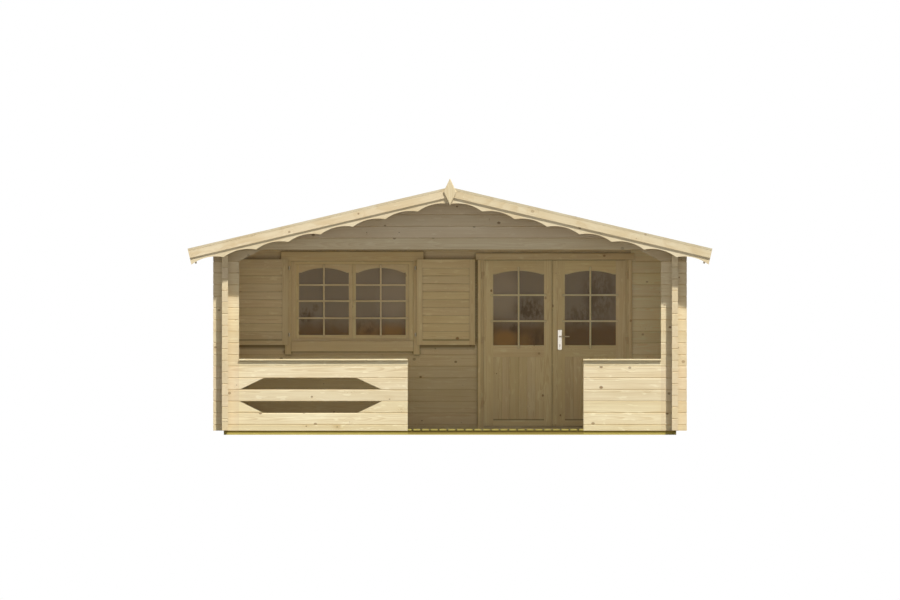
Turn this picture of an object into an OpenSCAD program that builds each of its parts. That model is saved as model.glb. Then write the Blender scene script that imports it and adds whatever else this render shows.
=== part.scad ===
/* [Cabin] */
// Width over the outer faces of the side walls
cabin_w = 5200; // [5000:20:5400]
// Depth from the porch front to the outer face of the rear wall
cabin_d = 6000; // [5200:50:6600]
// Depth from the porch front to the outer face of the room's front wall
veranda_d = 2000; // [1600:20:2300]

/* [Logs] */
// Thickness of the wall logs
log_t = 70; // [58:1:70]
// Height that one log covers
log_h = 133; // [133:1:133]
// Length that crossing logs run past the wall face
log_tail = 100; // [60:5:120]
// Chamfer along the edges of each log
log_chamfer = 6; // [3:0.5:9]

/* [Base] */
// Height and width of the foundation joists
joist_h = 50; // [40:1:60]
// Number of joists from front to rear
joist_count = 13; // [9:1:15]
// Thickness of the deck and floor boards
board_t = 18; // [16:1:20]
// Distance between the centres of deck boards
deck_pitch = 99.4; // [96:0.1:110]

/* [Roof] */
// Slope of the roof in degrees
roof_pitch = 13.2; // [12:0.1:14]
// Height of the barge boards' top edge at the ridge
ridge_top = 2825; // [2800:1:2900]
// Half the width of the roof at its top edge
roof_half_w = 2992; // [2960:1:3040]
// Overhang of the roof in front of the porch
front_overhang = 300; // [240:5:340]
// Overhang of the roof behind the rear wall
rear_overhang = 300; // [200:5:340]
// Thickness of the roof boards
roof_board_t = 19; // [16:1:22]
// Thickness of the roof felt
felt_t = 6; // [4:1:8]
// Depth of the barge boards, square to the slope
barge_h = 110; // [100:1:120]
// Thickness of the barge boards
barge_t = 20; // [18:1:24]
// Number of arches in each scalloped board
scallops = 8; // [6:1:10]
// Rise of each arch
scallop_rise = 40; // [30:1:45]

/* [Porch] */
// Width of each porch post, measured from the ends of its logs
post_w = 295; // [250:5:320]
// Length of the sloped end of the top log on each post
haunch_run = 260; // [150:5:300]
// End of the left balustrade beside the entrance
gap_left = -482; // [-600:1:-400]
// End of the right balustrade beside the entrance
gap_right = 1522; // [1400:1:1600]
// Width of the cap on the balustrades
rail_cap_w = 114; // [90:1:120]

/* [Window] */
// Centre of the window
window_x = -1113.5; // [-1130:0.5:-1100]
// Width of one pane
light_w = 567; // [540:1:580]
// Width of the wood between the two panes
meeting_w = 81; // [70:1:90]
// Width of each shutter
shutter_w = 661; // [620:1:665]

/* [Door] */
// Centre of the double door
door_x = 1195.5; // [1190:0.5:1200]
// Width over both leaves
door_w = 1619; // [1600:1:1640]
// Height of the leaves' top edge
door_top = 1989; // [1970:1:1989]
// Height of the leaves' bottom edge
door_bottom = 100; // [100:1:110]
// Thickness of the leaves
leaf_t = 44; // [40:1:44]
// Gap around each leaf
leaf_gap = 5; // [5:0.5:6]

/* [Hidden] */
$fn = 48;
eps = 1;
// Sloping faces that touch stay this far apart, so that they never cross
seat = 0.02;

spruce = [0.87, 0.76, 0.58];
spruce_shade = [0.82, 0.70, 0.51];
treated = [0.70, 0.67, 0.42];
felt_grey = [0.25, 0.26, 0.27];
steel = [0.75, 0.76, 0.78];
glass_tint = [0.45, 0.50, 0.52, 0.6];

// Places along the depth, with the whole object centred on Y = 0
finial_t = 18;
whole_d = finial_t + front_overhang + cabin_d + rear_overhang;
porch_y = -whole_d / 2 + finial_t + front_overhang;
room_y = porch_y + veranda_d;
rear_y = porch_y + cabin_d;
roof_front_y = porch_y - front_overhang;
roof_rear_y = rear_y + rear_overhang;

// Places across the width
half_w = cabin_w / 2;
inner_w = half_w - log_t;
tail_x = half_w + log_tail;
post_inner = tail_x - post_w;

// Heights of the rows: gable walls start with half a log, side walls with a whole one
base_z = joist_h;
front_rows = base_z + log_h / 2;
window_bottom = front_rows + 7 * log_h;
window_top = front_rows + 14 * log_h;
door_opening_top = window_top + log_h / 2;
gable_z = front_rows + 15 * log_h;
rail_top = front_rows + 5 * log_h + 63.5;
floor_top = base_z + board_t;

// The roof's layers, measured square to the slope from the barge boards' top edge
felt_in = 8;
boards_in = felt_in + felt_t;
boards_under = boards_in + roof_board_t;
below_roof = boards_under + seat;
slope_cos = cos(roof_pitch);
slope_sin = sin(roof_pitch);
slope_tan = tan(roof_pitch);
slope_l = roof_half_w / slope_cos;
purlin_w = 45;
purlin_h = 100;
purlin_step = 650;
boards_short = 30;
scallop_t = 18;
scallop_crown = 149;

function slope_z(x, depth) = ridge_top - abs(x) * slope_tan - depth / slope_cos;
function slope_point(s, depth) = [s * slope_cos - depth * slope_sin,
                                  ridge_top - s * slope_sin - depth * slope_cos];
function slope_band(d0, d1, s_end) = [
    [0, slope_z(0, d0)],
    slope_point(s_end, d0),
    slope_point(s_end, d1),
    [0, slope_z(0, d1)]
];

// Outline of stacked logs, [depth, height], with a chamfered seam at each row
function seams(z0, z1, first) = [
    for (k = [0 : 24])
        let (z = first + k * log_h)
        if (z > z0 + log_chamfer * 2 && z < z1 - log_chamfer * 2) z
];
function seam_points(rows, face, dip) = [
    for (z = rows)
        for (p = [[0, -1], [dip, 0], [0, 1]])
            [face + p[0] * log_chamfer, z + p[1] * log_chamfer]
];
function reversed(list) = [for (i = [len(list) - 1 : -1 : 0]) list[i]];
function log_outline(z0, z1, first) = concat(
    [[log_chamfer, z0], [0, z0 + log_chamfer]],
    seam_points(seams(z0, z1, first), 0, 1),
    [[0, z1 - log_chamfer], [log_chamfer, z1], [log_t - log_chamfer, z1], [log_t, z1 - log_chamfer]],
    reversed(seam_points(seams(z0, z1, first), log_t, -1)),
    [[log_t, z0 + log_chamfer], [log_t - log_chamfer, z0]]
);

module along_x(x0, x1) {
    translate([x0, 0, 0]) rotate([90, 0, 90]) linear_extrude(x1 - x0) children();
}

module along_y(y0, y1) {
    translate([0, y1, 0]) rotate([90, 0, 0]) linear_extrude(y1 - y0) children();
}

module block(low, high) {
    translate(low) cube(high - low);
}

// Logs laid across the cabin, with their outer face at y
module cross_logs(x0, x1, y, z0, z1) {
    translate([0, y, 0]) along_x(x0, x1) polygon(log_outline(z0, z1, front_rows));
}

// Eased ends: a groove across the end of the wall at each seam between two logs
module end_groove(at, turn) {
    side = log_chamfer * sqrt(2);
    translate(at) rotate(turn * 45) cube([
        turn[0] ? log_t + 2 * eps : side,
        turn[1] ? log_t + 2 * eps : side,
        side
    ], center = true);
}

module cross_end_grooves(y, rows) {
    for (side = [-1, 1], z = rows)
        end_groove([side * tail_x, y + log_t / 2, z], [0, 1, 0]);
}

// Notches that the side walls' logs leave in the cross walls, one for each row
module side_log_notches(y) {
    for (side = [-1, 1], k = [0 : 16])
        translate([side > 0 ? inner_w : -half_w, y - eps, base_z + log_h * (k + 0.25)])
            cube([log_t, log_t + 2 * eps, log_h / 2]);
}

// Notches that the cross walls' logs leave in the side walls
module cross_log_notches(side) {
    for (y = [porch_y, room_y, rear_y - log_t], k = [0 : 16])
        translate([side > 0 ? inner_w - eps : -half_w - eps, y, base_z + log_h * (k - 0.25)])
            cube([log_t + 2 * eps, log_t, log_h / 2]);
}

module above_roof(y) {
    far = half_w + 2 * log_tail;
    along_y(y - eps, y + log_t + eps) polygon([
        [-far, slope_z(far, below_roof)], [0, slope_z(0, below_roof)],
        [far, slope_z(far, below_roof)], [far, ridge_top + 2 * log_h], [-far, ridge_top + 2 * log_h]
    ]);
}

function purlin_outline(x) = [
    [x - purlin_w / 2, slope_z(x - purlin_w / 2, below_roof)],
    [x + purlin_w / 2, slope_z(x + purlin_w / 2, below_roof)],
    [x + purlin_w / 2, slope_z(x, below_roof) - purlin_h],
    [x - purlin_w / 2, slope_z(x, below_roof) - purlin_h]
];
function ridge_outline() = [
    [-purlin_w / 2, slope_z(purlin_w / 2, below_roof)], [0, slope_z(0, below_roof)],
    [purlin_w / 2, slope_z(purlin_w / 2, below_roof)],
    [purlin_w / 2, slope_z(0, below_roof) - purlin_h],
    [-purlin_w / 2, slope_z(0, below_roof) - purlin_h]
];

module purlin_set(y0, y1) {
    along_y(y0, y1) polygon(ridge_outline());
    for (side = [-1, 1], k = [1 : 3])
        along_y(y0, y1) polygon(purlin_outline(side * k * purlin_step));
}

// A gable of logs up to the roof boards
module log_gable(y, z0) {
    difference() {
        cross_logs(-tail_x, tail_x, y, z0, ridge_top + log_h);
        above_roof(y);
        cross_end_grooves(y, concat([z0], seams(z0, slope_z(tail_x, below_roof), front_rows)));
        purlin_set(y - eps, y + log_t + eps);
        side_log_notches(y);
    }
}

module notched_logs(x0, x1, y, z0, z1) {
    difference() {
        cross_logs(x0, x1, y, z0, z1);
        side_log_notches(y);
        cross_end_grooves(y, concat([z0, z1], seams(z0, z1, front_rows)));
    }
}

module foundation_joists() {
    joist_w = 70;
    end_in = 21;
    face_in = 11;
    first = porch_y + face_in;
    last = rear_y - face_in - joist_w;
    color(treated)
        for (k = [0 : joist_count - 1])
            translate([-half_w + end_in, first + (last - first) * k / (joist_count - 1), 0])
                cube([cabin_w - 2 * end_in, joist_w, joist_h]);
}

// Deck boards run from front to rear; the last one is sawn to fit
module veranda_deck() {
    gap = 9;
    ease = 3;
    start = 19 - inner_w;
    end = inner_w - 4;
    count = floor((end - start) / deck_pitch);
    front_y = porch_y + log_t + 2;
    color(treated)
        for (k = [0 : count]) {
            x0 = start + k * deck_pitch;
            x1 = min(x0 + deck_pitch - gap, end);
            difference() {
                along_y(porch_y + 2, room_y) polygon([
                    [x0, base_z], [x0, floor_top - ease], [x0 + ease, floor_top],
                    [x1 - ease, floor_top], [x1, floor_top - ease], [x1, base_z]
                ]);
                block([-half_w, porch_y - eps, base_z - eps], [gap_left + 1, front_y, floor_top + eps]);
                block([gap_right - 1, porch_y - eps, base_z - eps], [half_w, front_y, floor_top + eps]);
            }
        }
}

module room_floor() {
    half = inner_w - 3;
    count = 42;
    pitch = 2 * half / count;
    joint = 3;
    color(spruce)
        along_y(room_y + log_t + 3, rear_y - log_t - 3) polygon(concat(
            [[half, floor_top], [half, base_z], [-half, base_z], [-half, floor_top]],
            [for (k = [1 : count - 1], p = [[-1, 0], [0, -1], [1, 0]])
                [-half + k * pitch + p[0] * joint, floor_top + p[1] * joint]]
        ));
}

module side_wall(side) {
    top_out = slope_z(half_w, below_roof);
    top_in = slope_z(inner_w, below_roof);
    rows = seams(base_z, top_out, base_z);
    outline = concat(
        [[log_chamfer, base_z], [0, base_z + log_chamfer]],
        seam_points(rows, 0, 1),
        [[0, top_out], [log_t, top_in]],
        reversed(seam_points(rows, log_t, -1)),
        [[log_t, base_z + log_chamfer], [log_t - log_chamfer, base_z]]
    );
    color(spruce)
        difference() {
            mirror([side > 0 ? 1 : 0, 0, 0])
                translate([-half_w, 0, 0])
                    along_y(porch_y - log_tail, rear_y + log_tail) polygon(outline);
            cross_log_notches(side);
            for (y = [porch_y - log_tail, rear_y + log_tail], z = rows)
                end_groove([side * (half_w - log_t / 2), y, z], [1, 0, 0]);
        }
}

module left_wall() { side_wall(-1); }

module right_wall() { side_wall(1); }

module rear_wall() { color(spruce) log_gable(rear_y - log_t, base_z); }

frame_half = light_w + meeting_w / 2 + 113.5;
window_x0 = window_x - frame_half;
window_x1 = window_x + frame_half;
frame_w = 51;
door_x0 = door_x - door_w / 2 - leaf_gap - frame_w;
door_x1 = door_x + door_w / 2 + leaf_gap + frame_w;

module room_wall_left() { color(spruce_shade) notched_logs(-tail_x, window_x0, room_y, base_z, gable_z); }

module room_wall_below_window() {
    color(spruce_shade) cross_logs(window_x0, window_x1, room_y, base_z, window_bottom);
}

module room_wall_over_window() {
    color(spruce_shade) cross_logs(window_x0, window_x1, room_y, window_top, gable_z);
}

module room_wall_middle() { color(spruce_shade) cross_logs(window_x1, door_x0, room_y, base_z, gable_z); }

module room_wall_right() { color(spruce_shade) notched_logs(door_x1, tail_x, room_y, base_z, gable_z); }

module room_wall_over_door() {
    color(spruce_shade) block([door_x0, room_y, door_opening_top], [door_x1, room_y + log_t, gable_z]);
}

module room_gable() { color(spruce_shade) log_gable(room_y, gable_z); }

module porch_post(side) {
    color(spruce)
        mirror([side > 0 ? 1 : 0, 0, 0])
            notched_logs(-tail_x, -post_inner, porch_y, base_z, window_top);
}

module left_porch_post() { porch_post(-1); }

module right_porch_post() { porch_post(1); }

module porch_haunches() {
    color(spruce)
        difference() {
            for (side = [0, 1])
                mirror([side, 0, 0])
                    difference() {
                        cross_logs(-tail_x, -post_inner + haunch_run, porch_y, window_top, gable_z);
                        along_y(porch_y - eps, porch_y + log_t + eps) polygon([
                            [-post_inner, window_top - eps], [-post_inner, window_top],
                            [-post_inner + haunch_run, gable_z], [0, gable_z + eps], [0, window_top - eps]
                        ]);
                    }
            side_log_notches(porch_y);
            cross_end_grooves(porch_y, [window_top, gable_z]);
        }
}

module porch_gable() { color(spruce) log_gable(porch_y, gable_z); }

// The left balustrade's cut-outs widen away from the log between them
slot_in = [-2124, -1061];
slot_out = [-2400, -774];
lower_z = front_rows + log_h;
middle_z = lower_z + log_h;
upper_z = middle_z + log_h;
top_z = upper_z + log_h;

module slot_row(z0, z1, low, high) {
    difference() {
        cross_logs(-post_inner, gap_left, porch_y, z0, z1);
        along_y(porch_y - eps, porch_y + log_t + eps) polygon([
            [low[0], z0 - eps], [low[0], z0], [high[0], z1], [high[0], z1 + eps],
            [high[1], z1 + eps], [high[1], z1], [low[1], z0], [low[1], z0 - eps]
        ]);
    }
}

module left_balustrade_base() { color(spruce) cross_logs(-post_inner, gap_left, porch_y, base_z, lower_z); }

module left_balustrade_lower_ends() { color(spruce) slot_row(lower_z, middle_z, slot_in, slot_out); }

module left_balustrade_middle_log() {
    color(spruce) cross_logs(-post_inner, gap_left, porch_y, middle_z, upper_z);
}

module left_balustrade_upper_ends() { color(spruce) slot_row(upper_z, top_z, slot_out, slot_in); }

module left_balustrade_top() { color(spruce) cross_logs(-post_inner, gap_left, porch_y, top_z, rail_top); }

module right_balustrade() { color(spruce) cross_logs(gap_right, post_inner, porch_y, base_z, rail_top); }

module rail_caps() {
    cap_t = 20;
    ease = 4;
    half = rail_cap_w / 2;
    color(spruce)
        for (span = [[-post_inner, gap_left + 2], [gap_right - 2, post_inner]])
            translate([0, porch_y + log_t / 2, rail_top])
                along_x(span[0], span[1]) polygon([
                    [-half + ease, 0], [half - ease, 0], [half, ease], [half, cap_t - ease],
                    [half - ease, cap_t], [-half + ease, cap_t], [-half, cap_t - ease], [-half, ease]
                ]);
}

module roof_purlins() {
    color(spruce) purlin_set(roof_front_y + barge_t + scallop_t, roof_rear_y - barge_t);
}

module half_roof(side, y0, y1, d0, d1, s_end) {
    mirror([side < 0 ? 1 : 0, 0, 0]) along_y(y0, y1) polygon(slope_band(d0, d1, s_end));
}

// Roof boards run down the slope, with a V joint below between each two
module roof_boards(side) {
    y0 = roof_front_y + barge_t + seat;
    y1 = roof_rear_y - barge_t - seat;
    count = 65;
    pitch = (y1 - y0) / count;
    joint = 4;
    color(spruce)
        mirror([side < 0 ? 1 : 0, 0, 0])
            difference() {
                translate([0, 0, ridge_top]) rotate([0, roof_pitch, 0])
                    along_x(-boards_under, slope_l - boards_short) polygon(concat(
                        [[y1, -boards_under], [y1, -boards_in - seat]],
                        [[y0, -boards_in - seat], [y0, -boards_under]],
                        [for (k = [1 : count - 1], p = [[-1, 0], [0, 1], [1, 0]])
                            [y0 + k * pitch + p[0] * joint, -boards_under + p[1] * joint]]
                    ));
                block([-half_w, y0 - eps, 0], [0, y1 + eps, ridge_top + eps]);
            }
}

module left_roof_boards() { roof_boards(-1); }

module right_roof_boards() { roof_boards(1); }

// Felt in level courses, each lapping over the one below and the last one turned down at the eaves
module roof_felt(side) {
    courses = 3;
    lap_t = 2.5;
    turn_down = boards_under;
    board_end = slope_l - boards_short + seat;
    end = board_end + 4;
    step = end / courses;
    color(felt_grey)
        mirror([side < 0 ? 1 : 0, 0, 0])
            along_y(roof_front_y + barge_t, roof_rear_y - barge_t) polygon(concat(
                [[0, slope_z(0, felt_in + lap_t)]],
                [for (k = [1 : courses - 1], d = [felt_in, felt_in + lap_t]) slope_point(k * step, d)],
                [slope_point(end, felt_in), slope_point(end, turn_down), slope_point(board_end, turn_down),
                 slope_point(board_end, boards_in), [0, slope_z(0, boards_in)]]
            ));
}

module left_roof_felt() { roof_felt(-1); }

module right_roof_felt() { roof_felt(1); }

fascia_h = 155;
fascia_t = 20;

module eaves_fascia(side) {
    s1 = slope_l - 46;
    s0 = s1 - fascia_t;
    color(spruce)
        mirror([side < 0 ? 1 : 0, 0, 0])
            along_y(roof_front_y + barge_t + scallop_t, roof_rear_y - barge_t) polygon([
                slope_point(s0, below_roof), slope_point(s1, below_roof),
                slope_point(s1, below_roof + fascia_h), slope_point(s0, below_roof + fascia_h)
            ]);
}

module left_eaves_fascia() { eaves_fascia(-1); }

module right_eaves_fascia() { eaves_fascia(1); }

ridge_gap = 0.5;
lath_h = 28;
lath_joint = 4;

module barge_pair(y0) {
    color(spruce)
        difference() {
            union() {
                half_roof(-1, y0, y0 + barge_t, 0, barge_h, slope_l);
                half_roof(1, y0, y0 + barge_t, 0, barge_h, slope_l);
            }
            block([-ridge_gap, y0 - eps, 0], [ridge_gap, y0 + barge_t + eps, ridge_top + eps]);
            for (side = [0, 1], y = [y0, y0 + barge_t])
                mirror([side, 0, 0]) translate([0, y, ridge_top]) rotate([0, roof_pitch, 0])
                    translate([slope_l / 2, 0, -lath_h]) rotate([45, 0, 0])
                        cube([slope_l + 2 * log_t, lath_joint, lath_joint], center = true);
        }
}

module front_barge_boards() { barge_pair(roof_front_y); }

module rear_barge_boards() { barge_pair(roof_rear_y - barge_t); }

// Each scalloped board hangs behind the barge board, its arches laid out from the ridge
module scalloped_boards() {
    cusp = scallop_crown + scallop_rise;
    first = cusp * slope_tan;
    pitch = (slope_l - first) / scallops;
    arch_r = (pitch * pitch / 4 + scallop_rise * scallop_rise) / (2 * scallop_rise);
    color(spruce_shade)
        for (side = [0, 1])
            mirror([side, 0, 0])
                difference() {
                    along_y(roof_front_y + barge_t, roof_front_y + barge_t + scallop_t)
                        polygon(slope_band(below_roof, cusp, slope_l));
                    for (k = [0 : scallops - 1]) {
                        centre = slope_point(first + (k + 0.5) * pitch, scallop_crown + arch_r);
                        translate([centre[0], roof_front_y + barge_t - eps, centre[1]])
                            rotate([-90, 0, 0]) cylinder(h = scallop_t + 2 * eps, r = arch_r, $fn = 180);
                    }
                    block([-eps, roof_front_y, 0], [ridge_gap, roof_front_y + 100, ridge_top]);
                }
}

// A diamond with its front edges eased
module gable_finial() {
    centre_z = 2769;
    half = [74, 155];
    ease = 4;
    front = 1 - 2 * ease / half[0];
    color(spruce)
        translate([0, roof_front_y, centre_z]) rotate([90, 0, 0])
            hull() {
                linear_extrude(finial_t - ease) diamond(half);
                linear_extrude(finial_t) diamond(half * front);
            }
}

module diamond(half) {
    polygon([[-half[0], 0], [0, -half[1]], [half[0], 0], [0, half[1]]]);
}

// A pane with small level shoulders and a low arch between them
module arched_light(x0, x1, z0, shoulder_z, crown_z) {
    shoulder = 25;
    span = x1 - x0 - 2 * shoulder;
    rise = crown_z - shoulder_z;
    r = (span * span / 4 + rise * rise) / (2 * rise);
    union() {
        translate([x0, z0]) square([x1 - x0, shoulder_z - z0]);
        intersection() {
            translate([x0 + shoulder, shoulder_z]) square([span, rise + eps]);
            translate([(x0 + x1) / 2, crown_z - r]) circle(r, $fn = 180);
        }
    }
}

light_z = [1138, 1847, 1901];
sash_z = [1095, 1944];
sash_front = 8;
sash_back = 48;
mould = 9;
mould_in = 6;

// The pane's outline with a moulding step round it, cut into the outer and the inner face
module moulded_light(x0, x1, z, y0, y1) {
    along_y(y0 - eps, y1 + eps) arched_light(x0, x1, z[0], z[1], z[2]);
    for (y = [[y0 - eps, y0 + mould_in], [y1 - mould_in, y1 + eps]])
        along_y(y[0], y[1]) arched_light(x0 - mould, x1 + mould, z[0] - mould, z[1] + mould, z[2] + mould);
}

function light_span(side) = side < 0
    ? [window_x - meeting_w / 2 - light_w, window_x - meeting_w / 2]
    : [window_x + meeting_w / 2, window_x + meeting_w / 2 + light_w];

module window_frame() {
    rebate = [frame_half - 74, 1092, 1947];
    inner = [frame_half - 86, 1104, 1935];
    color(spruce)
        difference() {
            block([window_x0, room_y, window_bottom], [window_x1, room_y + log_t, window_top]);
            block([window_x - rebate[0], room_y - eps, rebate[1]],
                  [window_x + rebate[0], room_y + sash_back, rebate[2]]);
            block([window_x - inner[0], room_y, inner[1]],
                  [window_x + inner[0], room_y + log_t + eps, inner[2]]);
        }
}

module window_sashes() {
    outer = frame_half - 78;
    meeting_gap = 2;
    color(spruce)
        difference() {
            for (span = [[-outer, -meeting_gap], [meeting_gap, outer]])
                block([window_x + span[0], room_y + sash_front, sash_z[0]],
                      [window_x + span[1], room_y + sash_back, sash_z[1]]);
            for (side = [-1, 1])
                moulded_light(light_span(side)[0], light_span(side)[1], light_z,
                              room_y + sash_front, room_y + sash_back);
        }
}

module window_glass() {
    color(glass_tint)
        for (side = [-1, 1])
            along_y(room_y + 22, room_y + 34)
                arched_light(light_span(side)[0], light_span(side)[1], light_z[0], light_z[1], light_z[2]);
}

casing_t = 20;
casing_ease = 5;

// A level trim board on the wall, its front edges eased
module level_trim(x0, x1, z0, z1, t) {
    translate([0, room_y, 0]) along_x(x0, x1) polygon([
        [0, z0], [casing_ease - t, z0], [-t, z0 + casing_ease],
        [-t, z1 - casing_ease], [casing_ease - t, z1], [0, z1]
    ]);
}

module upright_trim(x0, x1, z0, z1, t) {
    translate([0, room_y, z0]) linear_extrude(z1 - z0) polygon([
        [x0, 0], [x0, casing_ease - t], [x0 + casing_ease, -t],
        [x1 - casing_ease, -t], [x1, casing_ease - t], [x1, 0]
    ]);
}

module window_casing() {
    joint = 1;
    side_in = 697;
    side_out = 768;
    head_half = 811;
    head_z = [window_top + 2.5, 2089];
    sill_z = [950, 1069];
    foot_z = 915;
    color(spruce) {
        level_trim(window_x - head_half, window_x + head_half, head_z[0], head_z[1], casing_t);
        upright_trim(window_x - side_out, window_x - side_in, foot_z, head_z[0] - joint, casing_t);
        upright_trim(window_x + side_in, window_x + side_out, foot_z, head_z[0] - joint, casing_t);
        level_trim(window_x - side_in + joint, window_x + side_in - joint, sill_z[0], sill_z[1], casing_t + 8);
    }
}

// A framed shutter, folded open against the wall, filled with level boards
module shutter(x0) {
    z0 = 1024;
    z1 = 2000;
    t = 28;
    stile = 63;
    bottom = z0 + 62;
    top = z1 - 97;
    panel_in = 8;
    joint = 7;
    boards = 9;
    pitch = (top - bottom) / boards;
    back = room_y - casing_t;
    color(spruce)
        difference() {
            block([x0, back - t, z0], [x0 + shutter_w, back, z1]);
            for (y = [back - t - eps, back - panel_in])
                block([x0 + stile, y, bottom], [x0 + shutter_w - stile, y + panel_in + eps, top]);
            for (k = [1 : boards - 1], y = [back - t + panel_in, back - panel_in])
                translate([x0 + stile, y, top - k * pitch])
                    rotate([45, 0, 0]) translate([0, -joint / 2, -joint / 2])
                        cube([shutter_w - 2 * stile, joint, joint]);
        }
}

module left_shutter() { shutter(window_x - 737 - shutter_w); }

module right_shutter() { shutter(window_x + 737); }

stop_y = room_y - 1 + leaf_t + leaf_gap;
stop_w = 15;

module door_jamb(side) {
    inner = door_w / 2 + leaf_gap;
    color(spruce)
        translate([door_x, 0, 0]) mirror([side > 0 ? 1 : 0, 0, 0]) union() {
            block([-inner - frame_w, room_y, base_z], [-inner, room_y + log_t, door_opening_top]);
            block([-inner - eps, stop_y, base_z], [-inner + stop_w, room_y + log_t, door_opening_top]);
        }
}

module left_door_jamb() { door_jamb(-1); }

module right_door_jamb() { door_jamb(1); }

module door_head() {
    inner = door_w / 2 + leaf_gap;
    color(spruce)
        union() {
            block([door_x - inner, room_y, door_top + leaf_gap], [door_x + inner, stop_y, door_opening_top]);
            block([door_x - inner + stop_w, stop_y - eps, door_top - stop_w + leaf_gap],
                  [door_x + inner - stop_w, room_y + log_t, door_opening_top]);
        }
}

module door_threshold() {
    inner = door_w / 2 + leaf_gap;
    color(spruce)
        union() {
            block([door_x - inner, room_y, base_z], [door_x + inner, stop_y, door_bottom - leaf_gap]);
            block([door_x - inner + stop_w, stop_y - eps, base_z],
                  [door_x + inner - stop_w, room_y + log_t, door_bottom - leaf_gap]);
            block([door_x - inner, room_y - 22, floor_top],
                  [door_x + inner, room_y + eps, door_bottom - leaf_gap]);
        }
}

module door_casing() {
    inner = door_w / 2 + 33;
    board_w = 37;
    head_z = door_top + 6;
    color(spruce) {
        upright_trim(door_x - inner - board_w, door_x - inner, floor_top, head_z - 1, casing_t);
        upright_trim(door_x + inner, door_x + inner + board_w, floor_top, head_z - 1, casing_t);
        level_trim(door_x - inner - 60, door_x + inner + 60, head_z, head_z + 75, casing_t);
    }
}

// The two leaves meet off centre: the right one carries the meeting strip on its edge
left_leaf = [386, 1163];
right_leaf = [1171, 2005];
leaf_y = room_y - 1;
pane_z = [1021, 1829, 1869];
left_pane = [493, 1072];
right_pane = [1310, 1890];
panel_z = [172, 887];
panel_in = 12;
panel_joint = 8;
handle_x = 1252;
lever_z = 1120;

module leaf(span, pane) {
    board = (pane[1] - pane[0]) / 6;
    difference() {
        block([span[0], leaf_y, door_bottom], [span[1], leaf_y + leaf_t, door_top]);
        moulded_light(pane[0], pane[1], pane_z, leaf_y, leaf_y + leaf_t);
        for (y = [leaf_y - eps, leaf_y + leaf_t - panel_in])
            block([pane[0], y, panel_z[0]], [pane[1], y + panel_in + eps, panel_z[1]]);
        for (k = [1 : 5], y = [leaf_y + panel_in, leaf_y + leaf_t - panel_in])
            translate([pane[0] + k * board, y, panel_z[0]])
                rotate([0, 0, 45]) translate([-panel_joint / 2, -panel_joint / 2, 0])
                    cube([panel_joint, panel_joint, panel_z[1] - panel_z[0]]);
    }
}

module left_door() { color(spruce_shade) leaf(left_leaf, left_pane); }

module right_door() {
    strip = [right_leaf[0] - 2.8, right_leaf[0] + 50];
    strip_t = 12;
    color(spruce_shade)
        difference() {
            union() {
                leaf(right_leaf, right_pane);
                block([strip[0], leaf_y - strip_t, door_bottom + 20], [strip[1], leaf_y, door_top - 5]);
            }
            translate([handle_x, leaf_y - eps, lever_z])
                rotate([-90, 0, 0]) cylinder(h = leaf_t + 2 * eps, r = 10);
        }
}

module leaf_glass(pane) {
    color(glass_tint)
        along_y(leaf_y + 16, leaf_y + 28)
            arched_light(pane[0], pane[1], pane_z[0], pane_z[1], pane_z[2]);
}

module left_door_glass() { leaf_glass(left_pane); }

module right_door_glass() { leaf_glass(right_pane); }

// Barrel hinges: the lower knuckle and its pin stay on the frame, the upper one turns on the pin
hinge_z = [351, 1076, 1817];
hinge_off = 18;
hinge_y = room_y - 10;
knuckle_r = 7.5;
knuckle_h = 38;
pin_r = 4;
pin_gap = 0.1;
hinge_arm = 24;
hinge_foot = 10;
left_hinge_x = left_leaf[0] - hinge_off;
right_hinge_x = right_leaf[1] + hinge_off;

module frame_hinges() {
    color(steel)
        for (z = hinge_z, side = [-1, 1])
            translate([side < 0 ? left_hinge_x : right_hinge_x, hinge_y, z]) union() {
                translate([0, 0, -knuckle_h]) cylinder(h = knuckle_h, r = knuckle_r);
                cylinder(h = knuckle_h - 6, r = pin_r);
                block([side < 0 ? -hinge_foot : 0, 5, -knuckle_h], [side < 0 ? 0 : hinge_foot, 10, 0]);
            }
}

module leaf_hinges(x, side) {
    color(steel)
        for (z = hinge_z)
            translate([x, hinge_y, z]) difference() {
                union() {
                    translate([0, 0, 1]) cylinder(h = knuckle_h, r = knuckle_r);
                    block([side < 0 ? 0 : -hinge_arm, 5, 1], [side < 0 ? hinge_arm : 0, 9, 1 + knuckle_h]);
                }
                translate([0, 0, -eps]) cylinder(h = knuckle_h - 4 + eps, r = pin_r + pin_gap);
            }
}

module left_door_hinges() { leaf_hinges(left_hinge_x, -1); }

module right_door_hinges() { leaf_hinges(right_hinge_x, 1); }

// Handle plates on both faces of the right leaf, with one spindle through them
plate_t = 8;
neck_r = 9;
lever_out = 52;

module door_handle_plates() {
    half = [22.5, 112.5];
    corner = 4;
    plate_z = 1083.5;
    color(steel)
        difference() {
            for (y = [leaf_y - plate_t, leaf_y + leaf_t])
                translate([handle_x, 0, plate_z]) along_y(y, y + plate_t) polygon([
                    [-half[0], corner - half[1]], [corner - half[0], -half[1]],
                    [half[0] - corner, -half[1]], [half[0], corner - half[1]],
                    [half[0], half[1] - corner], [half[0] - corner, half[1]],
                    [corner - half[0], half[1]], [-half[0], half[1] - corner]
                ]);
            translate([handle_x, leaf_y - 2 * plate_t, lever_z])
                rotate([-90, 0, 0]) cylinder(h = leaf_t + 4 * plate_t, r = neck_r + 0.3);
        }
}

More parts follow.
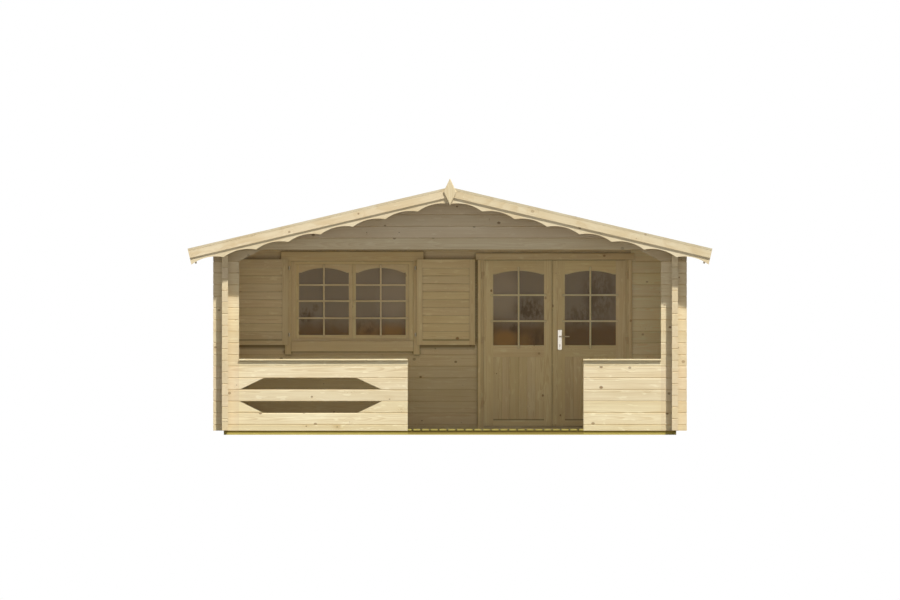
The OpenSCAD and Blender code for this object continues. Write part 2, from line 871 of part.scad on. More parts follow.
module door_levers() {
    lever_l = 106;
    lever_r = 7;
    color(steel)
        translate([handle_x, 0, lever_z]) union() {
            for (y = [leaf_y - lever_out, leaf_y + leaf_t + 1])
                translate([0, y, 0]) rotate([-90, 0, 0]) cylinder(h = lever_out - 1, r = neck_r);
            translate([0, leaf_y - 2, 0]) rotate([-90, 0, 0]) cylinder(h = leaf_t + 4, r = 5);
            for (y = [leaf_y - lever_out, leaf_y + leaf_t + lever_out])
                translate([0, y, 0]) {
                    sphere(r = neck_r);
                    rotate([0, 90, 0]) cylinder(h = lever_l, r = lever_r);
                    translate([lever_l, 0, 0]) sphere(r = lever_r);
                }
        }
}

foundation_joists();
veranda_deck();
room_floor();
left_wall();
right_wall();
rear_wall();
room_wall_left();
room_wall_below_window();
room_wall_over_window();
room_wall_middle();
room_wall_right();
room_wall_over_door();
room_gable();
left_porch_post();
right_porch_post();
porch_haunches();
porch_gable();
left_balustrade_base();
left_balustrade_lower_ends();
left_balustrade_middle_log();
left_balustrade_upper_ends();
left_balustrade_top();
right_balustrade();
rail_caps();
roof_purlins();
left_roof_boards();
right_roof_boards();
left_roof_felt();
right_roof_felt();
left_eaves_fascia();
right_eaves_fascia();
front_barge_boards();
scalloped_boards();
rear_barge_boards();
gable_finial();
window_frame();
window_sashes();
window_glass();
window_casing();
left_shutter();
right_shutter();
left_door_jamb();
right_door_jamb();
door_head();
door_threshold();
door_casing();
left_door();
right_door();
left_door_glass();
right_door_glass();
frame_hinges();
left_door_hinges();
right_door_hinges();
door_handle_plates();
door_levers();
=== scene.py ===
import math

import bmesh
import bpy
from mathutils import Matrix, Vector


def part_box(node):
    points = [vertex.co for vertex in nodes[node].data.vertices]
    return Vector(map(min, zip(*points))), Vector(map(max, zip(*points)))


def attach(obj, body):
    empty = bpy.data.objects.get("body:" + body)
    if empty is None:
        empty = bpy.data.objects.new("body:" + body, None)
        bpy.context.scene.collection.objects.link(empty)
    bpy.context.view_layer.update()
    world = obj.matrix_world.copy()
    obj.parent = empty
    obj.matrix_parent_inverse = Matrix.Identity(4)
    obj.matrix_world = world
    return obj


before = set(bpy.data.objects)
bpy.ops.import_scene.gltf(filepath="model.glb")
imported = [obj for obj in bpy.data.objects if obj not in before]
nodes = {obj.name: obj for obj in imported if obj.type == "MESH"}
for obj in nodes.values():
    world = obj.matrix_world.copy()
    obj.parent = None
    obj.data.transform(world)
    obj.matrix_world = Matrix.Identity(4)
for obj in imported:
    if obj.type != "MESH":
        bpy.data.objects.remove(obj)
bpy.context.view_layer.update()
print("frame loaded:", len(nodes), "nodes")

# places read from the frame, in metres
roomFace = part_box("room_wall_middle")[0].y  # outer face of the room's front wall
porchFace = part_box("left_balustrade_base")[0].y
entrance = (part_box("left_balustrade_base")[1].x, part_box("right_balustrade")[0].x)
deckLow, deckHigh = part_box("veranda_deck")
windowLow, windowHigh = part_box("window_glass")
windowX = (windowLow.x + windowHigh.x) / 2
casingLow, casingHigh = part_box("window_casing")
doorCasingLow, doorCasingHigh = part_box("door_casing")
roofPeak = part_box("front_barge_boards")[1].z
roofPitch = math.radians(13.2)


# shader helpers, where a value is a number, a colour or another node's output
def plug(tree, node, inputs):
    for key, value in inputs.items():
        if isinstance(value, bpy.types.NodeSocket):
            tree.links.new(value, node.inputs[key])
        else:
            node.inputs[key].default_value = value


def addNode(tree, kind, inputs=None, **settings):
    made = tree.nodes.new(kind)
    for key, value in settings.items():
        setattr(made, key, value)
    plug(tree, made, inputs or {})
    return made


def calc(tree, operation, a, b=0.0, c=0.0):
    return addNode(tree, "ShaderNodeMath", {0: a, 1: b, 2: c}, operation=operation).outputs[0]


def times(tree, a, b):
    return calc(tree, "MULTIPLY", a, b)


def minus(tree, a, b):
    return calc(tree, "SUBTRACT", a, b)


def larger(tree, a, b):
    return calc(tree, "MAXIMUM", a, b)


# the value times a factor, plus an offset
def scaled(tree, value, factor, offset=0.0):
    return calc(tree, "MULTIPLY_ADD", value, factor, offset)


# noise goes from 0 to 1, so its middle is taken off before it is added to something
def swing(tree, value, factor, offset, middle=0.5):
    return scaled(tree, minus(tree, value, middle), factor, offset)


def distance(tree, a, b):
    return calc(tree, "SQRT", calc(tree, "ADD", times(tree, a, a), times(tree, b, b)))


# 1 between two values and 0 outside them
def inside(tree, value, low, high):
    return calc(tree, "COMPARE", value, (low + high) / 2, (high - low) / 2)


def remap(tree, value, fromLow, fromHigh, toLow=0.0, toHigh=1.0):
    made = addNode(
        tree, "ShaderNodeMapRange",
        {0: value, 1: fromLow, 2: fromHigh, 3: toLow, 4: toHigh},
        interpolation_type="SMOOTHSTEP",
    )
    return made.outputs[0]


def vec(tree, x, y, z):
    return addNode(tree, "ShaderNodeCombineXYZ", {0: x, 1: y, 2: z}).outputs[0]


def split(tree, vector):
    return addNode(tree, "ShaderNodeSeparateXYZ", {0: vector}).outputs


def splitColor(tree, color):
    return addNode(tree, "ShaderNodeSeparateColor", {0: color}).outputs


def ownPlace(tree):
    return addNode(tree, "ShaderNodeTexCoord").outputs["Object"]


def stretched(tree, vector, scale):
    return addNode(tree, "ShaderNodeMapping", {"Vector": vector, "Scale": scale}).outputs[0]


def noise(tree, vector, scale=1.0, detail=2.0, roughness=0.5):
    made = addNode(
        tree, "ShaderNodeTexNoise",
        {"Vector": vector, "Scale": scale, "Detail": detail, "Roughness": roughness},
    )
    return made.outputs


def blendColors(tree, amount, first, second, mode="MIX"):
    made = addNode(tree, "ShaderNodeMix", {0: amount, 6: first, 7: second}, data_type="RGBA", blend_type=mode)
    return made.outputs[2]


# the colour multiplied by a tint, as far as the amount says
def tinted(tree, amount, color, tint):
    return blendColors(tree, amount, color, blendColors(tree, 1.0, color, tint, "MULTIPLY"))


def srgb(red, green, blue):
    def channel(value):
        value /= 255
        return value / 12.92 if value <= 0.04045 else ((value + 0.055) / 1.055) ** 2.4
    return (channel(red), channel(green), channel(blue), 1.0)


def freshMaterial(name):
    material = bpy.data.materials.new(name)
    material.use_nodes = True
    return material, material.node_tree


def bump(tree, height, strength, depth):
    inputs = {"Strength": strength, "Distance": depth, "Height": height}
    return addNode(tree, "ShaderNodeBump", inputs).outputs[0]


# growth rings cut by the saw, and fibres along them; scales are waves a metre along the grain and across it
ringLook = {
    "seedSpread": 91.7,
    "gap": 0.0062,  # metres between growth rings
    "widest": 0.75,  # share of the rings left on the piece with the widest ones
    "spread": 60.0,  # more rings a metre on the piece with the narrowest ones
    "bend": 0.005,  # metres that a ring waves in and out
    "late": (0.3, 0.86),  # part of a ring over which the late wood grows dark
    "lateEnd": (1.0, 0.88),
    "slide": 37.0,  # metres that the pattern moves along from piece to piece
    "pithScale": (0.55, 9.0),  # waves a metre, and how far they move from piece to piece
    "pithAside": (0.13, 0.09),  # metres that the pith lies aside: from piece to piece, along one piece
    "pithUnder": (-0.06, 0.09, 0.75),  # and under the face, with the middle of its wander
    "waveScale": (2.2, 38.0),
    "fibreScale": (3.5, 240.0),
    "streakScale": (0.9, 34.0),
    "patchScale": (1.6, 7.0, 5.0),  # with how far it moves from piece to piece
    "cloudScale": (7.0, 26.0),
    "plain": 0.22,  # darkness without any of the next ones
    "lateDepth": 0.36,
    "streakDepth": 0.9,
    "fibreDepth": 0.5,
    "patchDepth": 0.6,
    "cloudDepth": -0.55,  # pale clouds
    "cloudEdge": (0.60, 0.74),
    "tone": (0.08, 0.945),  # lightness from piece to piece: spread and least
    "toneGreen": (0.016, 0.992),
    "toneBlue": (0.07, 0.945),
    "lift": {"late": 0.5, "fibre": 0.8, "knot": 0.7},  # how much each stands up
    "rough": {"fibre": 0.16, "knot": -0.15, "plain": 0.56},
}
knotLook = {
    "step": 0.42,  # metres between places where a knot may sit
    "row": 0.133,
    "rowRoll": 11.0,
    "long": 0.8,  # below 1, a knot is longer along the grain than across it
    "size": (0.0105, 0.0035),  # radius: spread and least
    "ragged": 0.004,
    "raggedScale": 90.0,
    "edge": (1.5, 0.7),  # in parts of the radius, where a knot starts and is full
    "rimInner": (0.55, 1.0),
    "rimOuter": (1.7, 1.1),
    "near": 0.075,  # metres over which the grain bends round it
    "swirl": 0.03,
    "halo": (1.6, -0.8),  # paler on one side of a knot, darker on the other
    "strength": (0.55, 0.4),
    "rimShare": 0.45,
    "rimTint": (0.45, 0.38, 0.32, 1.0),
    "share": {"joinery": 0.2, "shutter": 0.2, "casing": 0.15, "bar": 0.0, "doorBar": 0.0},
    "shareElse": 0.56,  # share of the places that have one
}


# noise drawn out along the grain
def grainNoise(group, at, scale, detail, roughness=0.5):
    along, across, deep = at
    long, short = scale
    place = vec(group, times(group, along, long), times(group, across, short), times(group, deep, short))
    return noise(group, place, 1.0, detail, roughness)[0]


# distance to the pith, which wanders along the board, so the rings rise and fall on its face
def pithDistance(group, at, rolls):
    along, across, deep = at
    long, roll = ringLook["pithScale"]
    path = vec(group, times(group, along, long), times(group, rolls[1], roll), 0.0)
    drift = splitColor(group, noise(group, path)["Color"])
    aside, wander = ringLook["pithAside"]
    pithAcross = swing(group, rolls[1], aside, swing(group, drift[0], wander, 0.0))
    under, wander, middle = ringLook["pithUnder"]
    pithDeep = scaled(group, rolls[2], under, swing(group, drift[1], wander, 0.0, middle))
    return distance(group, minus(group, across, pithAcross), minus(group, deep, pithDeep))


# the knots in the wood: their share of the colour, their rims, whether there is one, and how strong it is
def knotField(group, at, rolls, share):
    along, across, deep = at
    row = calc(group, "DIVIDE", across, knotLook["row"])
    spot = vec(group, calc(group, "DIVIDE", along, knotLook["step"]),
               scaled(group, rolls[2], knotLook["rowRoll"], row), 0.0)
    cells = addNode(group, "ShaderNodeTexVoronoi", {"Vector": spot, "Scale": 1.0, "Randomness": 1.0},
                    voronoi_dimensions="2D").outputs
    apart = addNode(group, "ShaderNodeVectorMath", {0: spot, 1: cells["Position"]}, operation="SUBTRACT")
    gap = split(group, apart.outputs[0])
    away = distance(group, times(group, gap[0], knotLook["step"] * knotLook["long"]),
                    times(group, gap[1], knotLook["row"]))
    chance = splitColor(group, cells["Color"])
    present = calc(group, "LESS_THAN", chance[0], share)
    rough = noise(group, vec(group, along, across, deep), knotLook["raggedScale"])[0]
    ragged = scaled(group, rough, knotLook["ragged"], away)
    reach = calc(group, "DIVIDE", ragged, scaled(group, chance[1], *knotLook["size"]))
    knot = times(group, present, remap(group, reach, *knotLook["edge"]))
    rim = times(group, remap(group, reach, *knotLook["rimInner"]), remap(group, reach, *knotLook["rimOuter"]))
    near = remap(group, away, knotLook["near"], 0.0)
    return {
        "knot": knot,
        "rim": times(group, present, rim),
        "near": times(group, present, near),
        "swirl": times(group, present, times(group, near, times(group, near, knotLook["swirl"]))),
        "strength": scaled(group, chance[2], *knotLook["strength"]),
    }


# how dark the wood is at a point, and its late wood and fibres
def ringField(group, at, rolls, knots):
    along, across, _ = at
    waves = grainNoise(group, at, ringLook["waveScale"], 3.0)
    radius = calc(group, "ADD", pithDistance(group, at, rolls), knots["swirl"])
    bent = calc(group, "ADD", radius, times(group, waves, ringLook["bend"]))
    rings = scaled(group, rolls[0], ringLook["spread"], ringLook["widest"] / ringLook["gap"])
    phase = calc(group, "FRACT", times(group, bent, rings))
    late = times(group, remap(group, phase, *ringLook["late"]), remap(group, phase, *ringLook["lateEnd"]))
    fibre = grainNoise(group, at, ringLook["fibreScale"], 4.0, 0.65)
    streak = grainNoise(group, at, ringLook["streakScale"], 3.0, 0.6)
    long, short, roll = ringLook["patchScale"]
    patch = noise(group, vec(group, times(group, along, long), times(group, across, short),
                             times(group, rolls[1], roll)))[0]
    dark = scaled(group, late, ringLook["lateDepth"],
                  swing(group, streak, ringLook["streakDepth"], ringLook["plain"]))
    dark = swing(group, fibre, ringLook["fibreDepth"], dark)
    dark = swing(group, patch, ringLook["patchDepth"], dark)
    dark = scaled(group, knots["near"], scaled(group, patch, *knotLook["halo"]), dark)
    long, short = ringLook["cloudScale"]
    cloud = noise(group, vec(group, times(group, along, long), times(group, across, short), rolls[1]))[0]
    dark = scaled(group, remap(group, cloud, *ringLook["cloudEdge"]), ringLook["cloudDepth"], dark)
    return addNode(group, "ShaderNodeClamp", {0: dark}).outputs[0], late, fibre


def buildGrainGroup():
    group = bpy.data.node_groups.new("spruceGrain", "ShaderNodeTree")
    sockets = {
        "INPUT": {"At": "Vector", "Seed": "Float", "Share": "Float", "Pale": "Color", "Dark": "Color",
                  "Knot": "Color"},
        "OUTPUT": {"Color": "Color", "Height": "Float", "Roughness": "Float"},
    }
    for way, kinds in sockets.items():
        for name, kind in kinds.items():
            group.interface.new_socket(name, in_out=way, socket_type="NodeSocket" + kind)
    given = group.nodes.new("NodeGroupInput").outputs
    result = group.nodes.new("NodeGroupOutput")
    seed = times(group, given["Seed"], ringLook["seedSpread"])
    dice = addNode(group, "ShaderNodeTexWhiteNoise", {"W": seed}, noise_dimensions="1D")
    rolls = splitColor(group, dice.outputs["Color"])
    along, across, deep = split(group, given["At"])
    at = (scaled(group, rolls[0], ringLook["slide"], along), across, deep)
    knots = knotField(group, at, rolls, given["Share"])
    dark, late, fibre = ringField(group, at, rolls, knots)

    wood = blendColors(group, dark, given["Pale"], given["Dark"])
    level = scaled(group, rolls[2], *ringLook["tone"])
    green = times(group, level, scaled(group, rolls[0], *ringLook["toneGreen"]))
    blue = times(group, level, scaled(group, rolls[1], *ringLook["toneBlue"]))
    wood = blendColors(group, 1.0, wood, vec(group, level, green, blue), "MULTIPLY")
    wood = blendColors(group, times(group, knots["knot"], knots["strength"]), wood, given["Knot"])
    rimColor = blendColors(group, 1.0, given["Knot"], knotLook["rimTint"], "MULTIPLY")
    rimShare = times(group, knots["strength"], knotLook["rimShare"])
    wood = blendColors(group, times(group, knots["rim"], rimShare), wood, rimColor)
    lift, rough = ringLook["lift"], ringLook["rough"]
    height = calc(group, "ADD", times(group, late, lift["late"]), times(group, fibre, lift["fibre"]))
    height = calc(group, "ADD", height, times(group, knots["knot"], lift["knot"]))
    roughness = scaled(group, knots["knot"], rough["knot"], rough["plain"])
    roughness = scaled(group, fibre, rough["fibre"], roughness)
    plug(group, result, {"Color": wood, "Height": height, "Roughness": roughness})
    return group


grainGroup = buildGrainGroup()

woodTints = {  # pale wood, late wood, knot
    "log": (srgb(239, 223, 188), srgb(219, 194, 150), srgb(154, 122, 80)),
    "board": (srgb(238, 222, 187), srgb(219, 195, 151), srgb(158, 124, 82)),
    # paler logs for the room's right wall, as painted light where the porch's corner falls darker
    "pale": (srgb(255, 246, 210), srgb(246, 218, 172), srgb(160, 126, 84)),
    "joinery": (srgb(255, 238, 197), srgb(224, 194, 142), srgb(186, 142, 92)),
    "casing": (srgb(244, 226, 185), srgb(228, 201, 153), srgb(180, 138, 92)),
    "shutter": (srgb(252, 237, 203), srgb(216, 190, 145), srgb(180, 138, 92)),
    "rail": (srgb(251, 238, 202), srgb(214, 188, 138), srgb(154, 122, 80)),
    # the gable's logs, tinted darker as painted shade under the roof
    "gable": (srgb(230, 214, 182), srgb(210, 186, 146), srgb(140, 112, 78)),
    "treated": (srgb(196, 182, 100), srgb(162, 146, 66), srgb(92, 74, 34)),
    "joist": (srgb(208, 193, 107), srgb(174, 157, 72), srgb(92, 74, 34)),
    # the glazing bars, paler than the sashes and leaves as painted light where they catch it
    "bar": (srgb(250, 235, 202), srgb(235, 211, 168), srgb(160, 118, 78)),
    "doorBar": (srgb(255, 249, 216), srgb(247, 224, 178), srgb(170, 128, 84)),
}

# how a wood finish lies on its piece; a stack or frame may bring its own value for any of these
woodLook = {
    "lineTint": srgb(247, 239, 225),  # the dark line where two logs meet
    "endFacing": 0.8,  # a face turned this far along the grain is a sawn end
    "endShare": 0.5,
    "endTint": srgb(252, 250, 248),
    "shadeTint": srgb(150, 136, 108),
    "ownShade": 0.25,  # how much a groove in the piece itself darkens
    "ownSpan": (0.94, 0.25),  # open share of the surroundings where that starts and is full
    "cornerShade": 0.88,  # how much the corner against another piece darkens
    "cornerReach": 0.06,  # metres over which that corner grows darker
    "cornerSpan": (0.12, 0.38),  # hidden share of the surroundings where the shade starts and is full
    "deckGlow": (0.07, 0.13, 0.35),  # the deck lightens what stands on it: from, to, share of shade left
    "zoneDepth": 0.02,  # a zone's shade stays this near its face
    "lineCore": 0.3,  # share of a joint's line that is fully dark
    "specular": 0.3,
    "bump": (0.35, 0.0012),
}


# soft shade under a piece that stands off a face, as strong as the darkest of its zones
def zoneShade(tree, zones):
    x, y, z = split(tree, ownPlace(tree))
    total = 0.0
    for zone in zones:
        nearFace = calc(tree, "COMPARE", y, zone["face"], woodLook["zoneDepth"])
        nearFace = times(tree, inside(tree, x, *zone["x"]), nearFace)
        place = times(tree, nearFace, inside(tree, z, zone["start"], zone["end"]))
        soft = remap(tree, z, zone["start"], zone["full"], 0.0, zone["amount"])
        total = larger(tree, times(tree, place, soft), total)
    return total


# shade in the piece's own grooves, in corners against other pieces and in the zones
def woodShade(tree, look, zones):
    reach = {"Distance": look["cornerReach"]}
    own = addNode(tree, "ShaderNodeAmbientOcclusion", reach, samples=4, only_local=True).outputs["AO"]
    every = addNode(tree, "ShaderNodeAmbientOcclusion", reach, samples=4).outputs["AO"]
    groove = remap(tree, own, *look["ownSpan"], 0.0, look["ownShade"])
    corner = remap(tree, minus(tree, own, every), *look["cornerSpan"], 0.0, look["cornerShade"])
    height = split(tree, ownPlace(tree))[2]
    low, high, least = look["deckGlow"]
    corner = times(tree, corner, remap(tree, height, low, high, least, 1.0))
    shade = larger(tree, groove, corner)
    return larger(tree, zoneShade(tree, zones), shade) if zones else shade


def finishWood(material, at, seed, tint, endAxis=None, line=None, zones=(), **special):
    look = {**woodLook, **special}
    tree = material.node_tree
    pale, dark, knot = woodTints[tint]
    share = knotLook["share"].get(tint, knotLook["shareElse"])
    grain = addNode(
        tree, "ShaderNodeGroup",
        {"At": at, "Seed": seed, "Share": share, "Pale": pale, "Dark": dark, "Knot": knot},
        node_tree=grainGroup,
    ).outputs
    color = grain["Color"]
    if line is not None:  # a closed joint between two logs, a darker edge, or painted shade by a gap, under boards or in a groove
        color = tinted(tree, line, color, look["lineTint"])
    if endAxis is not None:  # sawn ends are a little darker
        normal = split(tree, addNode(tree, "ShaderNodeNewGeometry").outputs["Normal"])
        sawn = calc(tree, "GREATER_THAN", calc(tree, "ABSOLUTE", normal[endAxis]), look["endFacing"])
        color = tinted(tree, times(tree, sawn, look["endShare"]), color, look["endTint"])
    color = tinted(tree, woodShade(tree, look, zones), color, look["shadeTint"])
    plug(tree, tree.nodes["Principled BSDF"], {
        "Base Color": color, "Roughness": grain["Roughness"], "Specular IOR Level": look["specular"],
        "Normal": bump(tree, grain["Height"], *look["bump"]),
    })
    return material


# each log, board or lane has a seed of its own, made from these steps
seedSteps = {
    "row": 0.137,
    "wall": 0.731,
    "wallGap": 0.5,  # walls stand further apart than this
    "upright": (0.137, 0.05, 0.13),  # for each lane, to begin with, and for each letter of the name
    "level": (0.173, 0.41, 0.11),
    "roofSide": 0.37,
    "laid": (0.317, 0.71, 1.3),  # for each board laid, and for its x and z
}


# logs or boards in a stack; axes are the grain, the stacking and the depth, joint is the half width of the
# dark line at a row's edges: a joint between logs, or painted shade beside the deck's gaps and along the
# joists' top
def stackedWood(name, tint, axes, first, pitch, joint=0.0, **special):
    material, tree = freshMaterial(name)
    place = split(tree, ownPlace(tree))
    along, stack, deep = (place["XYZ".index(axis)] for axis in axes)
    row = calc(tree, "FLOOR", calc(tree, "DIVIDE", minus(tree, stack, first), pitch))
    across = minus(tree, stack, scaled(tree, row, pitch, first + pitch / 2))
    gap = seedSteps["wallGap"]
    wall = calc(tree, "ROUND", calc(tree, "DIVIDE", deep, gap))
    inward = minus(tree, deep, times(tree, wall, gap))
    seed = scaled(tree, row, seedSteps["row"], times(tree, wall, seedSteps["wall"]))
    dark = None
    if joint:
        fromEdge = minus(tree, pitch / 2, calc(tree, "ABSOLUTE", across))
        dark = remap(tree, fromEdge, joint, joint * woodLook["lineCore"])
    at = vec(tree, along, across, inward)
    return finishWood(material, at, seed, tint, "XYZ".index(axes[0]), dark, **special)


# places of the framed pieces, in metres
frameLook = {
    "shutterStile": 0.063,
    "shutterRails": (0.062, 0.097),  # bottom and top
    "shutterRows": 9,
    "shutterLine": 0.0055,  # the groove's middle below the rows
    "doorBoards": 6,
    "panelFoot": 0.172,
    "panelHead": 0.887,
    "archDrop": 0.2,  # level wood reaches this far past the pane's ends, round its arch
    "railShadeLine": (0.011, 0.001),  # half the width of the painted shade in the groove over the foot rail, and of its darkest part
    "railShadeTint": srgb(186, 178, 166),
    "doorGroove": 0.1,  # how much painted shade darkens the grooves between a door's boards
    "shutterGroove": 0.6,
    "corner": 0.3,
    "paneWidth": 0.567,
    "frameReach": 0.05,  # from the panes to the window frame's outer edge
    "frameRail": 0.038,
    "windowTrimSide": 0.06,
    "windowTrimHead": 1.981,
    "windowSill": 1.2,
    "sillHalf": 0.6965,
    "doorTrimSide": 0.3,
    "doorTrimHead": 1.9945,
    "doorTrimCuts": (1.0, 1.99),
    "laneSlack": 0.05,
    "doorCuts": (0.5, 1.5),  # heights where a level member takes another seed
    "windowCuts": (1.2, 1.85, 2.0),
}
wholeHeight = (0, 3)  # below and above every framed piece
paneWidth = frameLook["paneWidth"]


# places in a framed piece: the step from the middle of the lane, and the number of the lane
def laneOf(tree, value, cuts):
    slack = frameLook["laneSlack"]
    middles = [cuts[0] - slack] + [(a + b) / 2 for a, b in zip(cuts, cuts[1:])] + [cuts[-1] + slack]
    offset, lane = middles[0], 0.0
    for cut, first, second in zip(cuts, middles, middles[1:]):
        over = calc(tree, "GREATER_THAN", value, cut)
        offset = scaled(tree, over, second - first, offset)
        lane = calc(tree, "ADD", over, lane)
    return minus(tree, value, offset), lane


# framed joinery: upright lanes cut at xCuts, with level members inside the listed rectangles
def framedWood(name, tint, xCuts, zCuts, levels, rail=None, **special):
    material, tree = freshMaterial(name)
    x, y, z = split(tree, ownPlace(tree))
    xLocal, xLane = laneOf(tree, x, xCuts)
    zLocal, zLane = laneOf(tree, z, zCuts)
    level = 0.0
    for x0, x1, z0, z1 in levels:
        level = larger(tree, times(tree, inside(tree, x, x0, x1), inside(tree, z, z0, z1)), level)
    inward = minus(tree, y, roomFace)
    places = {0: level, 4: vec(tree, z, xLocal, inward), 5: vec(tree, x, zLocal, inward)}
    at = addNode(tree, "ShaderNodeMix", places, data_type="VECTOR").outputs[1]
    seeds = []
    for lane, kind in ((xLane, "upright"), (zLane, "level")):
        step, start, letter = seedSteps[kind]
        seeds.append(scaled(tree, lane, step, start + len(name) * letter))
    seed = addNode(tree, "ShaderNodeMix", {0: level, 2: seeds[0], 3: seeds[1]}, data_type="FLOAT").outputs[0]
    dark = None
    if rail is not None:  # painted shade in the groove over the foot rail
        x0, x1, height = rail
        fromRail = calc(tree, "ABSOLUTE", minus(tree, z, height))
        dark = times(tree, remap(tree, fromRail, *frameLook["railShadeLine"]), inside(tree, x, x0, x1))
    return finishWood(material, at, seed, tint, None, dark, lineTint=frameLook["railShadeTint"],
                      cornerShade=frameLook["corner"], **special)


# boards that follow the roof's slope; the barge boards are a little darker along their upper edge
slopeLook = {
    "edgeReach": 0.055,
    "edgeTint": srgb(234, 238, 242),
    "shade": 0.1,
}


def slopedWood(name, tint, seedStart):
    material, tree = freshMaterial(name)
    x, y, z = split(tree, ownPlace(tree))
    out = calc(tree, "ABSOLUTE", x)
    down = minus(tree, roofPeak, z)
    along = calc(tree, "ADD", times(tree, out, math.cos(roofPitch)), times(tree, down, math.sin(roofPitch)))
    across = minus(tree, times(tree, down, math.cos(roofPitch)), times(tree, out, math.sin(roofPitch)))
    seed = scaled(tree, calc(tree, "GREATER_THAN", x, 0.0), seedSteps["roofSide"], seedStart)
    edge = remap(tree, across, slopeLook["edgeReach"], 0.0)
    shade = slopeLook["shade"]
    return finishWood(material, vec(tree, along, across, y), seed, tint, None, edge,
                      lineTint=slopeLook["edgeTint"], cornerShade=shade, ownShade=shade)


# boards made below carry their own grain direction in a mesh attribute
def boardWood(name, tint):
    material, tree = freshMaterial(name)
    at = addNode(tree, "ShaderNodeAttribute", attribute_name="grainAt", attribute_type="GEOMETRY")
    mark = addNode(tree, "ShaderNodeAttribute", attribute_name="grainSeed", attribute_type="GEOMETRY")
    return finishWood(material, at.outputs["Vector"], mark.outputs["Fac"], tint)


# evenly spaced cuts from one end to the other
def cutsBetween(low, high, count):
    return [low + (high - low) * k / count for k in range(count + 1)]


def shutterFinish(nodeName, tint):
    low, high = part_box(nodeName)
    stile = frameLook["shutterStile"]
    bottom, top = frameLook["shutterRails"]
    foot, head = low.z + bottom, high.z - top
    between = (low.x + stile, high.x - stile)
    zCuts = cutsBetween(foot, head, frameLook["shutterRows"])
    rail = (*between, foot - frameLook["shutterLine"])
    return framedWood(nodeName + "Wood", tint, between, zCuts, [(*between, low.z - 1, high.z + 1)], rail,
                      ownShade=frameLook["shutterGroove"])


def doorFinish(nodeName, glassName):
    low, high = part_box(nodeName)
    paneLow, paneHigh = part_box(glassName)
    across = (paneLow.x, paneHigh.x)
    drop, foot, head = frameLook["archDrop"], frameLook["panelFoot"], frameLook["panelHead"]
    heights = ((low.z - 1, foot), (head, paneLow.z + drop), (paneHigh.z - drop, high.z + 1))
    levels = [(*across, *height) for height in heights]
    return framedWood(nodeName + "Wood", "joinery", cutsBetween(*across, frameLook["doorBoards"]),
                      frameLook["doorCuts"], levels, (*across, foot), ownShade=frameLook["doorGroove"])


def windowFinish(name, reach):
    first, last = (windowLow.x, windowLow.x + paneWidth), (windowHigh.x - paneWidth, windowHigh.x)
    if reach == 0:  # the sashes, whose level wood stays between their stiles
        spans, lap = [first, last], frameLook["archDrop"]
    else:
        spans, lap = [(first[0] - reach, last[1] + reach)], -frameLook["frameRail"]
    levels = [(*span, wholeHeight[0], windowLow.z + lap) for span in spans]
    levels += [(*span, windowHigh.z - lap, wholeHeight[1]) for span in spans]
    return framedWood(name, "joinery", [*first, windowX, *last], frameLook["windowCuts"], levels)


def windowTrimFinish():
    side, head, sill = frameLook["windowTrimSide"], frameLook["windowTrimHead"], frameLook["windowSill"]
    half = frameLook["sillHalf"]
    levels = [(casingLow.x - 1, casingHigh.x + 1, head, wholeHeight[1]),
              (windowX - half, windowX + half, wholeHeight[0], sill)]
    return framedWood("windowTrim", "casing", [casingLow.x + side, casingHigh.x - side], [sill, head], levels)


def doorTrimFinish():
    side, head = frameLook["doorTrimSide"], frameLook["doorTrimHead"]
    levels = [(doorCasingLow.x - 1, doorCasingHigh.x + 1, head, wholeHeight[1])]
    xCuts = [doorCasingLow.x + side, doorCasingHigh.x - side]
    return framedWood("doorTrim", "joinery", xCuts, frameLook["doorTrimCuts"], levels)


logLook = {
    "pitch": 0.133,  # height of one log
    "foot": 0.1165,  # lower edge of a log in the walls that run across
    "sideFoot": 0.05,
    "joint": 0.0032,  # half the width of the dark line where two logs meet
    # strengths of the painted shade in corners and grooves: at the porch, and weaker on the paler room wall
    # and the gable
    "porchCorner": 0.12,
    "porchGroove": 0.14,
    "weakCornerShade": 0.3,
    # how far the painted shade under the roof's overhang reaches on the gable
    "gableShadeReach": 0.4,
}
underShade = {  # of the shutters on the wall
    "steps": (-0.067, -0.006, 0.006),  # from a shutter's lower edge, where it starts, is full and ends
    "amount": 0.92,
}
deckLook = {
    "pitch": 0.0994,
    "gap": 0.009,
    "gapShadeLine": 0.0150,  # painted shade on the boards beside the gap between them
    "gapShadeTint": srgb(84, 74, 58),
    "joistHeight": 0.3,
    "joistShadeLine": 0.042,  # painted shade on the joists under the boards
    "joistShadeTint": srgb(200, 187, 162),
    "corner": 0.2,
    "frontShade": {"start": 0.002, "full": 0.012, "end": 0.05, "amount": 0.52},  # under the boards' ends
}
crossRows = ("XZY", logLook["foot"], logLook["pitch"], logLook["joint"])
sideRows = ("YZX", logLook["sideFoot"], logLook["pitch"], logLook["joint"])
porchShade = {"cornerShade": logLook["porchCorner"], "ownShade": logLook["porchGroove"]}
shutterZones = []
for low, high in (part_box("left_shutter"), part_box("right_shutter")):
    start, full, end = (low.z + step for step in underShade["steps"])
    shutterZones.append({"x": (low.x, high.x), "face": roomFace, "start": start, "full": full, "end": end,
                         "amount": underShade["amount"]})
frontZone = {"x": entrance, "face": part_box("foundation_joists")[0].y, **deckLook["frontShade"]}
crossLogs = stackedWood("crossLogs", "log", *crossRows, zones=shutterZones)
frontLogs = stackedWood("frontLogs", "log", *crossRows, **porchShade)
railLogs = stackedWood("railLogs", "rail", *crossRows, **porchShade)
litPaleLogs = stackedWood("litPaleLogs", "pale", *crossRows, cornerShade=logLook["weakCornerShade"])
shadedGableLogs = stackedWood("shadedGableLogs", "gable", *crossRows, cornerShade=logLook["weakCornerShade"],
                        cornerReach=logLook["gableShadeReach"])
sideLogs = stackedWood("sideLogs", "log", *sideRows, ownShade=logLook["porchGroove"])
